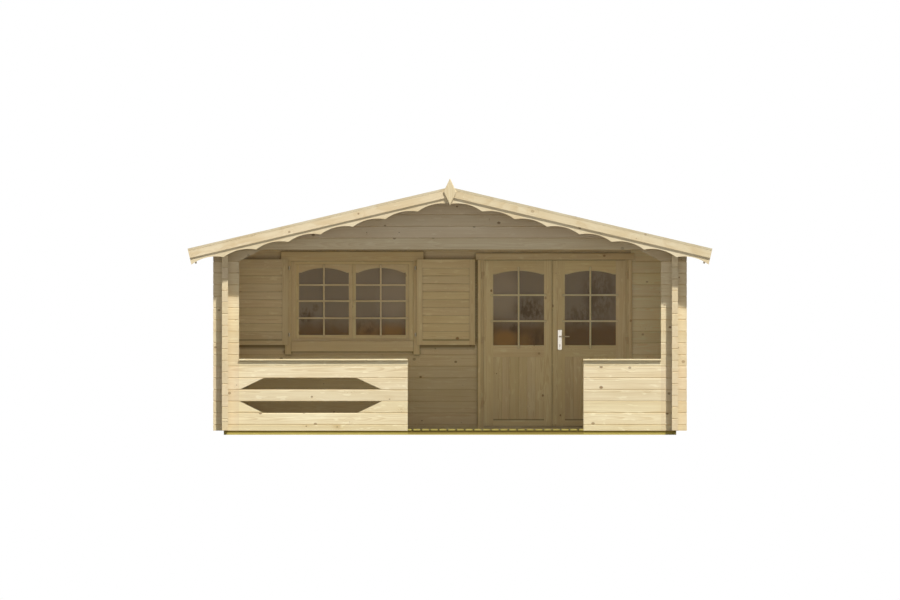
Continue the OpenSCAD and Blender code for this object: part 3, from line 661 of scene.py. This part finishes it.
# boards, each with its tint, its axes, where the first one starts and its width
levelBoards = stackedWood("levelBoards", "rail", "XZY", 0.02, 0.11)
uprightBoards = stackedWood("uprightBoards", "joinery", "ZXY", 0.386, 0.0966, cornerShade=0.2)
finialWood = stackedWood("finialWood", "board", "ZXY", -0.5, 1.0)
lengthBeams = stackedWood("lengthBeams", "board", "YXZ", 0.325, 0.65)
roofDecking = stackedWood("roofDecking", "board", "XYZ", 0.0, 0.1)
floorBoards = stackedWood("floorBoards", "board", "YXZ", 0.0, 0.12)
deckBoards = stackedWood("deckBoards", "treated", "YXZ", deckLow.x - deckLook["gap"] / 2, deckLook["pitch"],
                         deckLook["gapShadeLine"], lineTint=deckLook["gapShadeTint"], cornerShade=deckLook["corner"])
joistRow = ("XZY", deckLow.z - deckLook["joistHeight"], deckLook["joistHeight"], deckLook["joistShadeLine"])
joistWood = stackedWood("joistWood", "joist", *joistRow, lineTint=deckLook["joistShadeTint"],
                        cornerShade=deckLook["corner"], zones=[frontZone])
bargeWood = slopedWood("bargeWood", "board", seedStart=0.11)
scallopWood = slopedWood("scallopWood", "board", seedStart=0.34)
litBarWood = boardWood("litBarWood", "bar")
litDoorBarWood = boardWood("litDoorBarWood", "doorBar")
print("wood finishes made")


# glass, which also shows a painted reflection of a soft garden
glassLook = {
    "pane": {"Base Color": srgb(206, 196, 180), "Roughness": 0.02, "IOR": 1.5, "Transmission Weight": 1.0},
    "film": 0.72,  # share of the pane that shows the painted reflection of the garden
    "sky": srgb(181, 165, 143),
    "brightSky": srgb(204, 186, 162),
    "ground": srgb(198, 152, 84),
    "soil": srgb(152, 121, 75),
    "leaves": srgb(118, 92, 52),
    "turn": (1.37, 1.15),  # heights between which sky gives way to ground
    "turnNoise": (3.2, 5.0, 0.6),  # scale, detail and roughness
    "turnRagged": 0.3,
    "twigScale": (16.0, 16.0, 7.0),
    "twigNoise": (1.0, 7.0, 0.75),
    "twigEdge": (0.40, 0.56),
    "twigShare": 0.8,
    "placeEdge": (1.0, 0.35),  # in parts of a soft place's size, where it starts and is full
    # soft places, each as x, z, width, height and amount
    "bright": ((-0.66, 1.60, 0.26, 0.42, 1.0), (0.60, 1.62, 0.24, 0.36, 0.9), (-0.95, 1.72, 0.3, 0.3, 0.3)),
    "twigs": ((-1.65, 1.36, 0.13, 0.12, 1.0), (-1.55, 1.45, 0.07, 0.06, 0.8), (0.92, 1.42, 0.24, 0.20, 1.0),
              (0.74, 1.22, 0.10, 0.07, 0.9), (1.70, 1.60, 0.26, 0.40, 0.65), (1.50, 1.36, 0.24, 0.16, 0.7),
              (0.98, 1.10, 0.14, 0.14, 0.7), (-0.96, 1.22, 0.15, 0.12, 0.8)),
    "brown": ((-0.93, 1.20, 0.2, 0.15, 0.5), (-0.66, 1.20, 0.18, 0.13, 0.7), (0.62, 1.09, 0.2, 0.14, 0.9),
              (0.86, 1.06, 0.12, 0.12, 0.5)),
}


def softPlaces(tree, x, z, places):
    total = 0.0
    for atX, atZ, wide, tall, amount in places:
        stepX = calc(tree, "DIVIDE", minus(tree, x, atX), wide)
        stepZ = calc(tree, "DIVIDE", minus(tree, z, atZ), tall)
        place = remap(tree, distance(tree, stepX, stepZ), *glassLook["placeEdge"], 0.0, amount)
        total = larger(tree, place, total)
    return total


def clearGlass():
    material, tree = freshMaterial("clearGlass")
    surface = tree.nodes["Principled BSDF"]
    plug(tree, surface, glassLook["pane"])
    place = ownPlace(tree)
    x, _, z = split(tree, place)
    ragged = noise(tree, place, *glassLook["turnNoise"])[0]
    low = remap(tree, swing(tree, ragged, glassLook["turnRagged"], z), *glassLook["turn"])
    brown = softPlaces(tree, x, z, glassLook["brown"])
    bright = softPlaces(tree, x, z, glassLook["bright"])
    soil = blendColors(tree, brown, glassLook["soil"], glassLook["ground"])
    sky = blendColors(tree, bright, glassLook["sky"], glassLook["brightSky"])
    color = blendColors(tree, low, sky, soil)
    drawn = stretched(tree, place, glassLook["twigScale"])
    fork = remap(tree, noise(tree, drawn, *glassLook["twigNoise"])[0], *glassLook["twigEdge"])
    twigs = times(tree, fork, softPlaces(tree, x, z, glassLook["twigs"]))
    color = blendColors(tree, times(tree, twigs, glassLook["twigShare"]), color, glassLook["leaves"])
    film = addNode(tree, "ShaderNodeBsdfDiffuse", {"Color": color}).outputs[0]
    both = addNode(tree, "ShaderNodeMixShader", {0: glassLook["film"], 1: surface.outputs[0], 2: film})
    plug(tree, tree.nodes["Material Output"], {"Surface": both.outputs[0]})
    return material


# felt over the ridge, the mineral on the felt, and the nails that hold its laps
feltLook = {
    "ridgeHalf": 0.20,
    "ridgeThick": 0.003,
    "ridgeInset": 0.002,
    "top": 2.825,  # of the felt at the ridge, with its thickness
    "thick": 0.0105,
    "nailStep": 0.12,
    "nailRadius": 0.005,
    "nailHeight": 0.0012,
    "nailSunk": 0.0004,
    "nailRow": 0.03,  # from a course's lower edge to its nails
    "eavesRow": 0.04,
    "lap": 0.0024,  # how far a course stands up at its lower end
    "gritScale": 900.0,
    "gritShare": 0.8,
    "washNoise": (2.1, 5.0),
    "washShare": 0.25,
    "tints": (srgb(50, 52, 54), srgb(98, 99, 100)),
    "bump": (0.6, 0.002),
    "rough": 0.92,
}


def mineralFelt():
    material, tree = freshMaterial("mineralFelt")
    place = ownPlace(tree)
    grit = noise(tree, place, feltLook["gritScale"])[0]
    wash = noise(tree, place, *feltLook["washNoise"])[0]
    level = scaled(tree, grit, feltLook["gritShare"], times(tree, wash, feltLook["washShare"]))
    plug(tree, tree.nodes["Principled BSDF"], {
        "Base Color": blendColors(tree, level, *feltLook["tints"]), "Roughness": feltLook["rough"],
        "Normal": bump(tree, grit, *feltLook["bump"]),
    })
    return material


# metals, each as tint, roughness and how metallic it is
metalLook = {
    "brightMetal": (srgb(238, 231, 218), 0.2, 1.0),
    "hingeMetal": (srgb(226, 200, 154), 0.4, 0.25),
    # the barrels are white and not metallic, as a painted highlight for their glint
    "barrelHighlight": (srgb(255, 246, 230), 0.35, 0.0),
    "plateMetal": (srgb(166, 150, 122), 0.45, 0.25),
    "leverMetal": (srgb(206, 190, 158), 0.26, 1.0),
    "screwMetal": (srgb(140, 128, 104), 0.42, 1.0),
}
brushLook = {
    "scale": (900.0, 900.0, 25.0),
    "rough": 0.15,
    "bump": (0.15, 0.0003),
}


def satinMetal(name):
    tint, rough, metallic = metalLook[name]
    material, tree = freshMaterial(name)
    brushing = noise(tree, stretched(tree, ownPlace(tree), brushLook["scale"]), 1.0, 3.0)[0]
    plug(tree, tree.nodes["Principled BSDF"], {
        "Base Color": tint, "Metallic": metallic,
        "Roughness": scaled(tree, brushing, brushLook["rough"], rough),
        "Normal": bump(tree, brushing, *brushLook["bump"]),
    })
    return material


paneGlass = clearGlass()
roofFelt = mineralFelt()
metals = {name: satinMetal(name) for name in metalLook}

cadFinishes = {
    crossLogs: ["rear_wall", "room_wall_left", "room_wall_below_window", "room_wall_over_window",
                "room_wall_middle", "room_wall_over_door", "room_gable"],
    litPaleLogs: ["room_wall_right"],
    frontLogs: ["left_porch_post", "right_porch_post"],
    railLogs: ["left_balustrade_base", "left_balustrade_lower_ends", "left_balustrade_middle_log",
               "left_balustrade_upper_ends", "left_balustrade_top", "right_balustrade"],
    shadedGableLogs: ["porch_haunches", "porch_gable"],
    sideLogs: ["left_wall", "right_wall"],
    levelBoards: ["rail_caps", "door_head", "door_threshold"],
    windowTrimFinish(): ["window_casing"],
    doorTrimFinish(): ["door_casing"],
    shutterFinish("left_shutter", "shutter"): ["left_shutter"],
    shutterFinish("right_shutter", "joinery"): ["right_shutter"],
    doorFinish("left_door", "left_door_glass"): ["left_door"],
    doorFinish("right_door", "right_door_glass"): ["right_door"],
    windowFinish("sashWood", 0): ["window_sashes"],
    windowFinish("frameWood", frameLook["frameReach"]): ["window_frame"],
    uprightBoards: ["left_door_jamb", "right_door_jamb"],
    finialWood: ["gable_finial"],
    lengthBeams: ["roof_purlins", "left_eaves_fascia", "right_eaves_fascia"],
    roofDecking: ["left_roof_boards", "right_roof_boards"],
    bargeWood: ["front_barge_boards", "rear_barge_boards"],
    scallopWood: ["scalloped_boards"],
    deckBoards: ["veranda_deck"],
    joistWood: ["foundation_joists"],
    floorBoards: ["room_floor"],
    roofFelt: ["left_roof_felt", "right_roof_felt"],
    paneGlass: ["window_glass", "left_door_glass", "right_door_glass"],
    metals["hingeMetal"]: ["frame_hinges", "left_door_hinges", "right_door_hinges"],
    metals["brightMetal"]: ["door_handle_plates"],
    metals["leverMetal"]: ["door_levers"],
}
for material, names in cadFinishes.items():
    for name in names:
        for holder in nodes[name].material_slots:
            holder.material = material
print("CAD pieces finished")


# turns a bmesh into a piece that rides a body
def makePiece(name, mesh, body, material):
    data = bpy.data.meshes.new(name)
    mesh.to_mesh(data)
    mesh.free()
    piece = bpy.data.objects.new(name, data)
    bpy.context.scene.collection.objects.link(piece)
    data.materials.append(material)
    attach(piece, body)
    return piece


# boards with eased edges, gathered in one mesh per piece
class BoardPile:
    def __init__(self, name, body, slotName, material):
        self.mesh = bmesh.new()
        self.at = self.mesh.verts.layers.float_vector.new("grainAt")
        self.seed = self.mesh.verts.layers.float.new("grainSeed")
        self.name, self.body, self.slotName, self.material = name, body, slotName, material
        self.count = 0

    def add(self, low, high, grain, ease):
        low, high = Vector(low), Vector(high)
        middle, size = (low + high) / 2, high - low
        made = bmesh.ops.create_cube(self.mesh, size=1.0)["verts"]
        for vert in made:
            vert.co = Vector((vert.co.x * size.x, vert.co.y * size.y, vert.co.z * size.z))
        edges = {edge for vert in made for edge in vert.link_edges}
        cut = bmesh.ops.bevel(self.mesh, geom=list(edges), offset=ease, segments=1, affect="EDGES")
        made = list(set(cut["verts"]) | {vert for vert in made if vert.is_valid})
        self.count += 1
        step, stepX, stepZ = seedSteps["laid"]
        axes = {"X": (0, 2, 1), "Y": (1, 0, 2), "Z": (2, 0, 1)}[grain]
        for vert in made:
            local = vert.co
            vert[self.at] = Vector((local[axes[0]] + middle[axes[0]], local[axes[1]], local[axes[2]]))
            vert[self.seed] = (self.count * step + middle.x * stepX + middle.z * stepZ) % 10
            vert.co = local + middle

    def finish(self):
        self.mesh.normal_update()
        return makePiece(self.name, self.mesh, self.body, self.material)


# glazing bars laid over the sashes and the door leaves
barLook = {
    "width": 0.0205,
    "thick": 0.011,
    "proud": 0.001,  # the level bars stand this far over the upright one
    "ease": 0.005,
    "leafFace": 0.001,  # the leaves stand this far over the room's wall
    # heights of the level bars, each with its lap on the wood beside the pane
    "windowRails": ((1.330, 0.022), (1.525, 0.022), (1.708, 0.004)),
    "windowEnds": (0.012, 0.042),  # laps of the upright bar below and above the pane
    "doorRails": ((1.296, 0.028), (1.593, 0.028)),
    "doorEnds": (0.038, 0.045),
}


def glazingBars(name, body, face, panes, wood, rails, ends):
    pile = BoardPile(name, body, "spruce_joinery", wood)
    half, ease = barLook["width"] / 2, barLook["ease"]
    upright = face - barLook["thick"]
    level = upright - barLook["proud"]
    below, above = ends
    for x0, x1, z0, z1 in panes:
        middle = (x0 + x1) / 2
        pile.add((middle - half, upright, z0 - below), (middle + half, face, z1 + above), "Z", ease)
        for z, lap in rails:
            pile.add((x0 - lap, level, z - half), (x1 + lap, face, z + half), "X", ease)
    return pile.finish()


windowPanes = [(windowLow.x, windowLow.x + paneWidth, windowLow.z, windowHigh.z),
               (windowHigh.x - paneWidth, windowHigh.x, windowLow.z, windowHigh.z)]
glazingBars("window_bars", "cabin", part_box("window_sashes")[0].y, windowPanes, litBarWood,
            barLook["windowRails"], barLook["windowEnds"])
leafFace = roomFace - barLook["leafFace"]
for side in ("left", "right"):
    low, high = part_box(side + "_door_glass")
    glazingBars(side + "_door_bars", side + "_leaf", leafFace, [(low.x, high.x, low.z, high.z)], litDoorBarWood,
                barLook["doorRails"], barLook["doorEnds"])
print("glazing bars made")


# the lowest logs of the front lap a little over the foremost joist
lipLook = {
    "drop": 0.0026,
    "rise": 0.0058,  # over the log's lower edge, as high as its chamfer
    "thick": 0.008,
    "proud": 0.0001,
    "ease": 0.0004,
}


def logLips(name, wood, nodeNames):
    pile = BoardPile(name, "cabin", "spruce_logs", wood)
    for nodeName in nodeNames:
        low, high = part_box(nodeName)
        pile.add((low.x, porchFace - lipLook["proud"], low.z - lipLook["drop"]),
                 (high.x, porchFace + lipLook["thick"], low.z + lipLook["rise"]), "X", lipLook["ease"])
    return pile.finish()


logLips("balustrade_lips", railLogs, ["left_balustrade_base", "right_balustrade"])
logLips("post_lips", frontLogs, ["left_porch_post", "right_porch_post"])
print("lips made")


smoothBelow = 4e-4  # square metres; larger faces and round ends stay flat


# round and small metal parts, gathered in one mesh per piece
class RodPile:
    def __init__(self, name, body, material):
        self.mesh = bmesh.new()
        self.name, self.body, self.material = name, body, material

    def rod(self, foot, axis, radius, length, sides=20, ease=0.0):
        turn = Vector(axis).to_track_quat("Z", "Y").to_matrix().to_4x4()
        place = Matrix.Translation(Vector(foot) + Vector(axis).normalized() * length / 2) @ turn
        made = bmesh.ops.create_cone(self.mesh, cap_ends=True, segments=sides, radius1=radius, radius2=radius,
                                     depth=length, matrix=place)["verts"]
        if ease:  # only the edges round the two ends
            edges = {edge for vert in made for edge in vert.link_edges if edge.calc_face_angle(0) > 1.0}
            bmesh.ops.bevel(self.mesh, geom=list(edges), offset=ease, segments=2, affect="EDGES")

    def block(self, low, high, ease=0.0008):
        low, high = Vector(low), Vector(high)
        place = Matrix.Translation((low + high) / 2) @ Matrix.Diagonal((*(high - low), 1.0))
        made = bmesh.ops.create_cube(self.mesh, size=1.0, matrix=place)["verts"]
        edges = {edge for vert in made for edge in vert.link_edges}
        bmesh.ops.bevel(self.mesh, geom=list(edges), offset=ease, segments=2, affect="EDGES")

    def finish(self):
        for face in self.mesh.faces:
            face.smooth = len(face.verts) == 4 and face.calc_area() < smoothBelow
        return makePiece(self.name, self.mesh, self.body, self.material)


# hinges of the sashes and the shutters, on the window's casing
hingeLook = {
    "radius": 0.0050,
    "height": 0.044,
    "knuckle": 0.48,  # share of the height that each of the two knuckles takes
    "knuckleStart": (-0.5, 0.02),
    "levels": (1.902, 1.141),
    "edge": 0.697,  # from the window's middle to the casing's inner edge
    "reach": 0.020,  # from there to the barrel
    "step": 0.008,  # the side boards' front stands behind the casing's foremost face
    "plate": 0.002,
    "plateSides": (0.008, 0.014),  # from the barrel towards the window and away from it
    "plateHalf": 0.42,
    "ease": 0.0012,
}


def casementHinges():
    barrels = RodPile("window_hinges", "cabin", metals["barrelHighlight"])
    plates = RodPile("window_hinge_plates", "cabin", metals["plateMetal"])
    face = casingLow.y + hingeLook["step"]
    tall, radius, plate = hingeLook["height"], hingeLook["radius"], hingeLook["plate"]
    inward, outward = hingeLook["plateSides"]
    half = tall * hingeLook["plateHalf"]
    knuckle, ease = tall * hingeLook["knuckle"], hingeLook["ease"]
    for side in (-1, 1):
        x = windowX + side * (hingeLook["edge"] + hingeLook["reach"])
        inner, outer = sorted((x - side * inward, x + side * outward))
        for z in hingeLook["levels"]:
            for start in hingeLook["knuckleStart"]:
                barrels.rod((x, face - radius, z + tall * start), (0, 0, 1), radius, knuckle, ease=ease)
            plates.block((inner, face - plate, z - half), (outer, face, z + half))
    barrels.finish()
    plates.finish()


casementHinges()


# screws, in rows on the deck and round the handle plates
screwLook = {
    "radius": 0.004,
    "height": 0.0007,
    "sunk": 0.0003,
    "sides": 12,
    "inset": 0.018,  # from the board's edge
    "rows": 4,
    "firstRow": 0.046,  # from the porch's face
    "rowStep": 5.908 / 12,
    "wallRow": 0.08,  # in this row the balustrades cover the screws
    "wallClear": 0.02,
}


def deckScrews():
    pile = RodPile("deck_screws", "cabin", metals["screwMetal"])
    pitch, inset = deckLook["pitch"], screwLook["inset"]
    for k in range(int((deckHigh.x - deckLow.x) / pitch) + 1):
        left = deckLow.x + k * pitch + inset
        right = min(deckLow.x + (k + 1) * pitch - deckLook["gap"], deckHigh.x) - inset
        for row in range(screwLook["rows"]):
            y = porchFace + screwLook["firstRow"] + screwLook["rowStep"] * row
            underWall = left < entrance[0] or right > entrance[1]
            covered = y < porchFace + screwLook["wallRow"] and underWall
            if covered or y > roomFace - screwLook["wallClear"]:
                continue
            for x in (left, right):
                pile.rod((x, y, deckHigh.z - screwLook["sunk"]), (0, 0, 1), screwLook["radius"],
                         screwLook["height"], screwLook["sides"])
    return pile.finish()


deckScrews()

# the lock under the lever on each side of the right leaf: a round cylinder with a key slot over a narrow body
lockLook = {
    "centre": 1.028,
    "radius": 0.0085,
    "thick": 0.004,
    "bodyHalf": 0.005,
    "bodyHeights": (1.004, 1.026),
    "ease": 0.0008,
    "slotHalf": 0.001,
    "slotHeights": (1.0225, 1.0335),
    "slotDepths": (0.0038, 0.0045),
    "slotEase": 0.0001,
    "screwInset": 0.012,  # from the ends of the handle plate
    "screwRadius": 0.0035,
    "screwThick": 0.0008,
}


def lockParts():
    low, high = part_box("door_handle_plates")
    bright = RodPile("door_lock", "right_leaf", metals["brightMetal"])
    dark = RodPile("door_lock_slots", "right_leaf", metals["screwMetal"])
    x = (low.x + high.x) / 2
    thick, ease = lockLook["thick"], lockLook["ease"]

    def bar(pile, half, depths, heights, ease):
        near, far = sorted(depths)
        pile.block((x - half, near, heights[0]), (x + half, far, heights[1]), ease)

    for y, out in ((low.y, -1), (high.y, 1)):
        bright.rod((x, y, lockLook["centre"]), (0, out, 0), lockLook["radius"], thick, 24, ease)
        bar(bright, lockLook["bodyHalf"], (y, y + out * thick), lockLook["bodyHeights"], ease)
        bar(dark, lockLook["slotHalf"], [y + out * depth for depth in lockLook["slotDepths"]],
            lockLook["slotHeights"], lockLook["slotEase"])
        for z in (low.z + lockLook["screwInset"], high.z - lockLook["screwInset"]):
            dark.rod((x, y, z), (0, out, 0), lockLook["screwRadius"], lockLook["screwThick"], 14)
    bright.finish()
    dark.finish()


lockParts()
print("metal parts made")


# the scalloped boards' thicker face below the barge boards
scallopLook = {
    "bargeHeight": 0.110,  # from the barge boards' upper edge to their lower one
    "thick": 0.0055,
    "clear": 0.0004,
}


def scallopFace():
    mesh = bmesh.new()
    mesh.from_mesh(nodes["scalloped_boards"].data)
    others = [face for face in mesh.faces if face.normal.y > -0.9]  # all but those that look forward
    bmesh.ops.delete(mesh, geom=others, context="FACES")
    down = (scallopLook["bargeHeight"] + scallopLook["clear"]) / math.cos(roofPitch)
    for side in (-1, 1):
        faces = [face for face in mesh.faces if face.calc_center_median().x * side > 0]
        part = faces + list({edge for face in faces for edge in face.edges})
        part += list({vert for face in faces for vert in face.verts})
        upward = (side * math.sin(roofPitch), 0, math.cos(roofPitch))
        top = (0, 0, roofPeak - down)
        bmesh.ops.bisect_plane(mesh, geom=part, plane_co=top, plane_no=upward, clear_outer=True)
    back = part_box("scalloped_boards")[0].y
    for vert in mesh.verts:
        vert.co.y = back
    grown = bmesh.ops.extrude_face_region(mesh, geom=list(mesh.faces), use_keep_orig=True)["geom"]
    for item in grown:
        if isinstance(item, bmesh.types.BMVert):
            item.co.y -= scallopLook["thick"]
    bmesh.ops.recalc_face_normals(mesh, faces=list(mesh.faces))
    return makePiece("scallop_face", mesh, "cabin", scallopWood)


scallopFace()

# the felt's courses on each side: the place at the ridge, and how far down the slope each row of nails lies
feltLow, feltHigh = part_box("left_roof_felt")
feltTop = feltLook["top"] - feltLook["thick"] / math.cos(roofPitch)
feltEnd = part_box("right_roof_felt")[1].x / math.cos(roofPitch)
feltRows = [end - feltLook["nailRow"] for end in (feltLook["ridgeHalf"], feltEnd / 3, feltEnd * 2 / 3)]
feltRows.append(feltEnd - feltLook["eavesRow"])


def ridgeFelt():
    half, thick, inset = feltLook["ridgeHalf"], feltLook["ridgeThick"], feltLook["ridgeInset"]
    across = half * math.cos(roofPitch)
    foot = feltTop - half * math.sin(roofPitch)
    outline = [(-across, foot), (0, feltTop), (across, foot),
               (across, foot + thick), (0, feltTop + thick), (-across, foot + thick)]
    mesh = bmesh.new()
    ends = (feltLow.y + inset, feltHigh.y - inset)
    front, back = ([mesh.verts.new((x, y, z)) for x, z in outline] for y in ends)
    for k in range(len(outline)):
        mesh.faces.new((front[k - 1], front[k], back[k], back[k - 1]))
    for quad in ((0, 1, 4, 5), (1, 2, 3, 4)):
        for end in (front, back):
            mesh.faces.new([end[k] for k in quad])
    bmesh.ops.recalc_face_normals(mesh, faces=mesh.faces)
    return makePiece("ridge_felt", mesh, "cabin", roofFelt)


def feltNails():
    pile = RodPile("felt_nails", "cabin", metals["screwMetal"])
    length = feltHigh.y - feltLow.y
    count = int(length / feltLook["nailStep"])
    for side in (-1, 1):
        normal = Vector((side * math.sin(roofPitch), 0, math.cos(roofPitch)))
        for down in feltRows:
            foot = Vector((side * down * math.cos(roofPitch), 0, feltTop - down * math.sin(roofPitch)))
            lift = feltLook["ridgeThick"] if down < feltLook["ridgeHalf"] else feltLook["lap"]
            for k in range(count):
                y = feltLow.y + length * (k + 0.5) / count
                pile.rod(foot + Vector((0, y, 0)) + normal * (lift - feltLook["nailSunk"]), normal,
                         feltLook["nailRadius"], feltLook["nailHeight"], 8)
    return pile.finish()


ridgeFelt()
feltNails()
print("roof parts made")


# floor, light and camera
studio = {
    "sunStrength": 4.3,
    "sunSize": 2.5,  # degrees, which softens the shadows' edges
    "sunTint": (1.0, 0.985, 0.955),
    "sunTravel": (-0.68, 1.0, -1.9),
    "fill": 0.147,
    "horizon": 2.4,  # the fill light is stronger near the horizon than overhead
    "zenith": (0.8, 0.7),  # overhead, and the height where that begins
    "front": 5.5,  # soft light from straight ahead of the porch
    "frontFocus": 100.0,
    "rear": (1.8, -0.2, 0.7),  # the fill light is stronger behind the cabin: how much, from where to where
    "floorSize": 60.0,
    "floorTone": (0.8, 0.8, 0.8, 1.0),
    "floorBounce": (0.22, 0.22, 0.22, 1.0),  # how much light the floor throws back up
    "floorRough": 0.9,
    "viewWidth": 10.26,
    "viewHeight": 1.537,
    "viewDistance": 20.0,
    "viewReach": 100.0,
}


# 1 for rays that see the white background itself, 0 for rays that gather its light
def litBackground(tree):
    path = addNode(tree, "ShaderNodeLightPath").outputs
    mirrored = larger(tree, path["Is Glossy Ray"], path["Is Transmission Ray"])
    return larger(tree, path["Is Camera Ray"], mirrored)


def putInScene(name, data):
    made = bpy.data.objects.new(name, data)
    bpy.context.scene.collection.objects.link(made)
    return made


def makeFloor():
    sheet = bpy.data.meshes.new("studioFloor")
    half = studio["floorSize"] / 2
    corners = [(-half, -half, 0), (half, -half, 0), (half, half, 0), (-half, half, 0)]
    sheet.from_pydata(corners, [], [(0, 1, 2, 3)])
    floor = putInScene("studioFloor", sheet)
    pale, tree = freshMaterial("paleFloor")
    tone = blendColors(tree, litBackground(tree), studio["floorBounce"], studio["floorTone"])
    plug(tree, tree.nodes["Principled BSDF"],
         {"Base Color": tone, "Roughness": studio["floorRough"], "Specular IOR Level": 0.0})
    sheet.materials.append(pale)


def makeWorld():
    world = bpy.data.worlds.new("studioWorld")
    world.use_nodes = True
    bpy.context.scene.world = world
    tree = world.node_tree
    _, y, z = split(tree, addNode(tree, "ShaderNodeTexCoord").outputs["Generated"])
    zenith, height = studio["zenith"]
    level = remap(tree, calc(tree, "ABSOLUTE", z), 0.0, height, studio["horizon"], zenith)
    ahead = larger(tree, times(tree, y, -1.0), 0.0)
    lobe = times(tree, calc(tree, "POWER", ahead, studio["frontFocus"]), studio["front"])
    rear, start, full = studio["rear"]
    around = times(tree, level, remap(tree, y, start, full, 1.0, rear))
    soft = scaled(tree, around, studio["fill"], lobe)
    strength = scaled(tree, litBackground(tree), minus(tree, 1.0, soft), soft)
    plug(tree, tree.nodes["Background"], {"Color": (1, 1, 1, 1), "Strength": strength})


def makeSun():
    lamp = bpy.data.lights.new("sun", "SUN")
    lamp.energy = studio["sunStrength"]
    lamp.angle = math.radians(studio["sunSize"])
    lamp.color = studio["sunTint"]
    sun = putInScene("sun", lamp)
    sun.rotation_mode = "QUATERNION"
    sun.rotation_quaternion = Vector(studio["sunTravel"]).to_track_quat("-Z", "Y")


def makeCamera():
    lens = bpy.data.cameras.new("camera")
    lens.type = "ORTHO"
    lens.ortho_scale = studio["viewWidth"]
    lens.clip_end = studio["viewReach"]
    camera = putInScene("camera", lens)
    camera.location = (0, -studio["viewDistance"], studio["viewHeight"])
    camera.rotation_euler = (math.radians(90), 0, 0)
    bpy.context.scene.camera = camera


makeFloor()
makeWorld()
makeSun()
makeCamera()
bpy.context.scene.view_settings.view_transform = "Standard"
print("studio made")
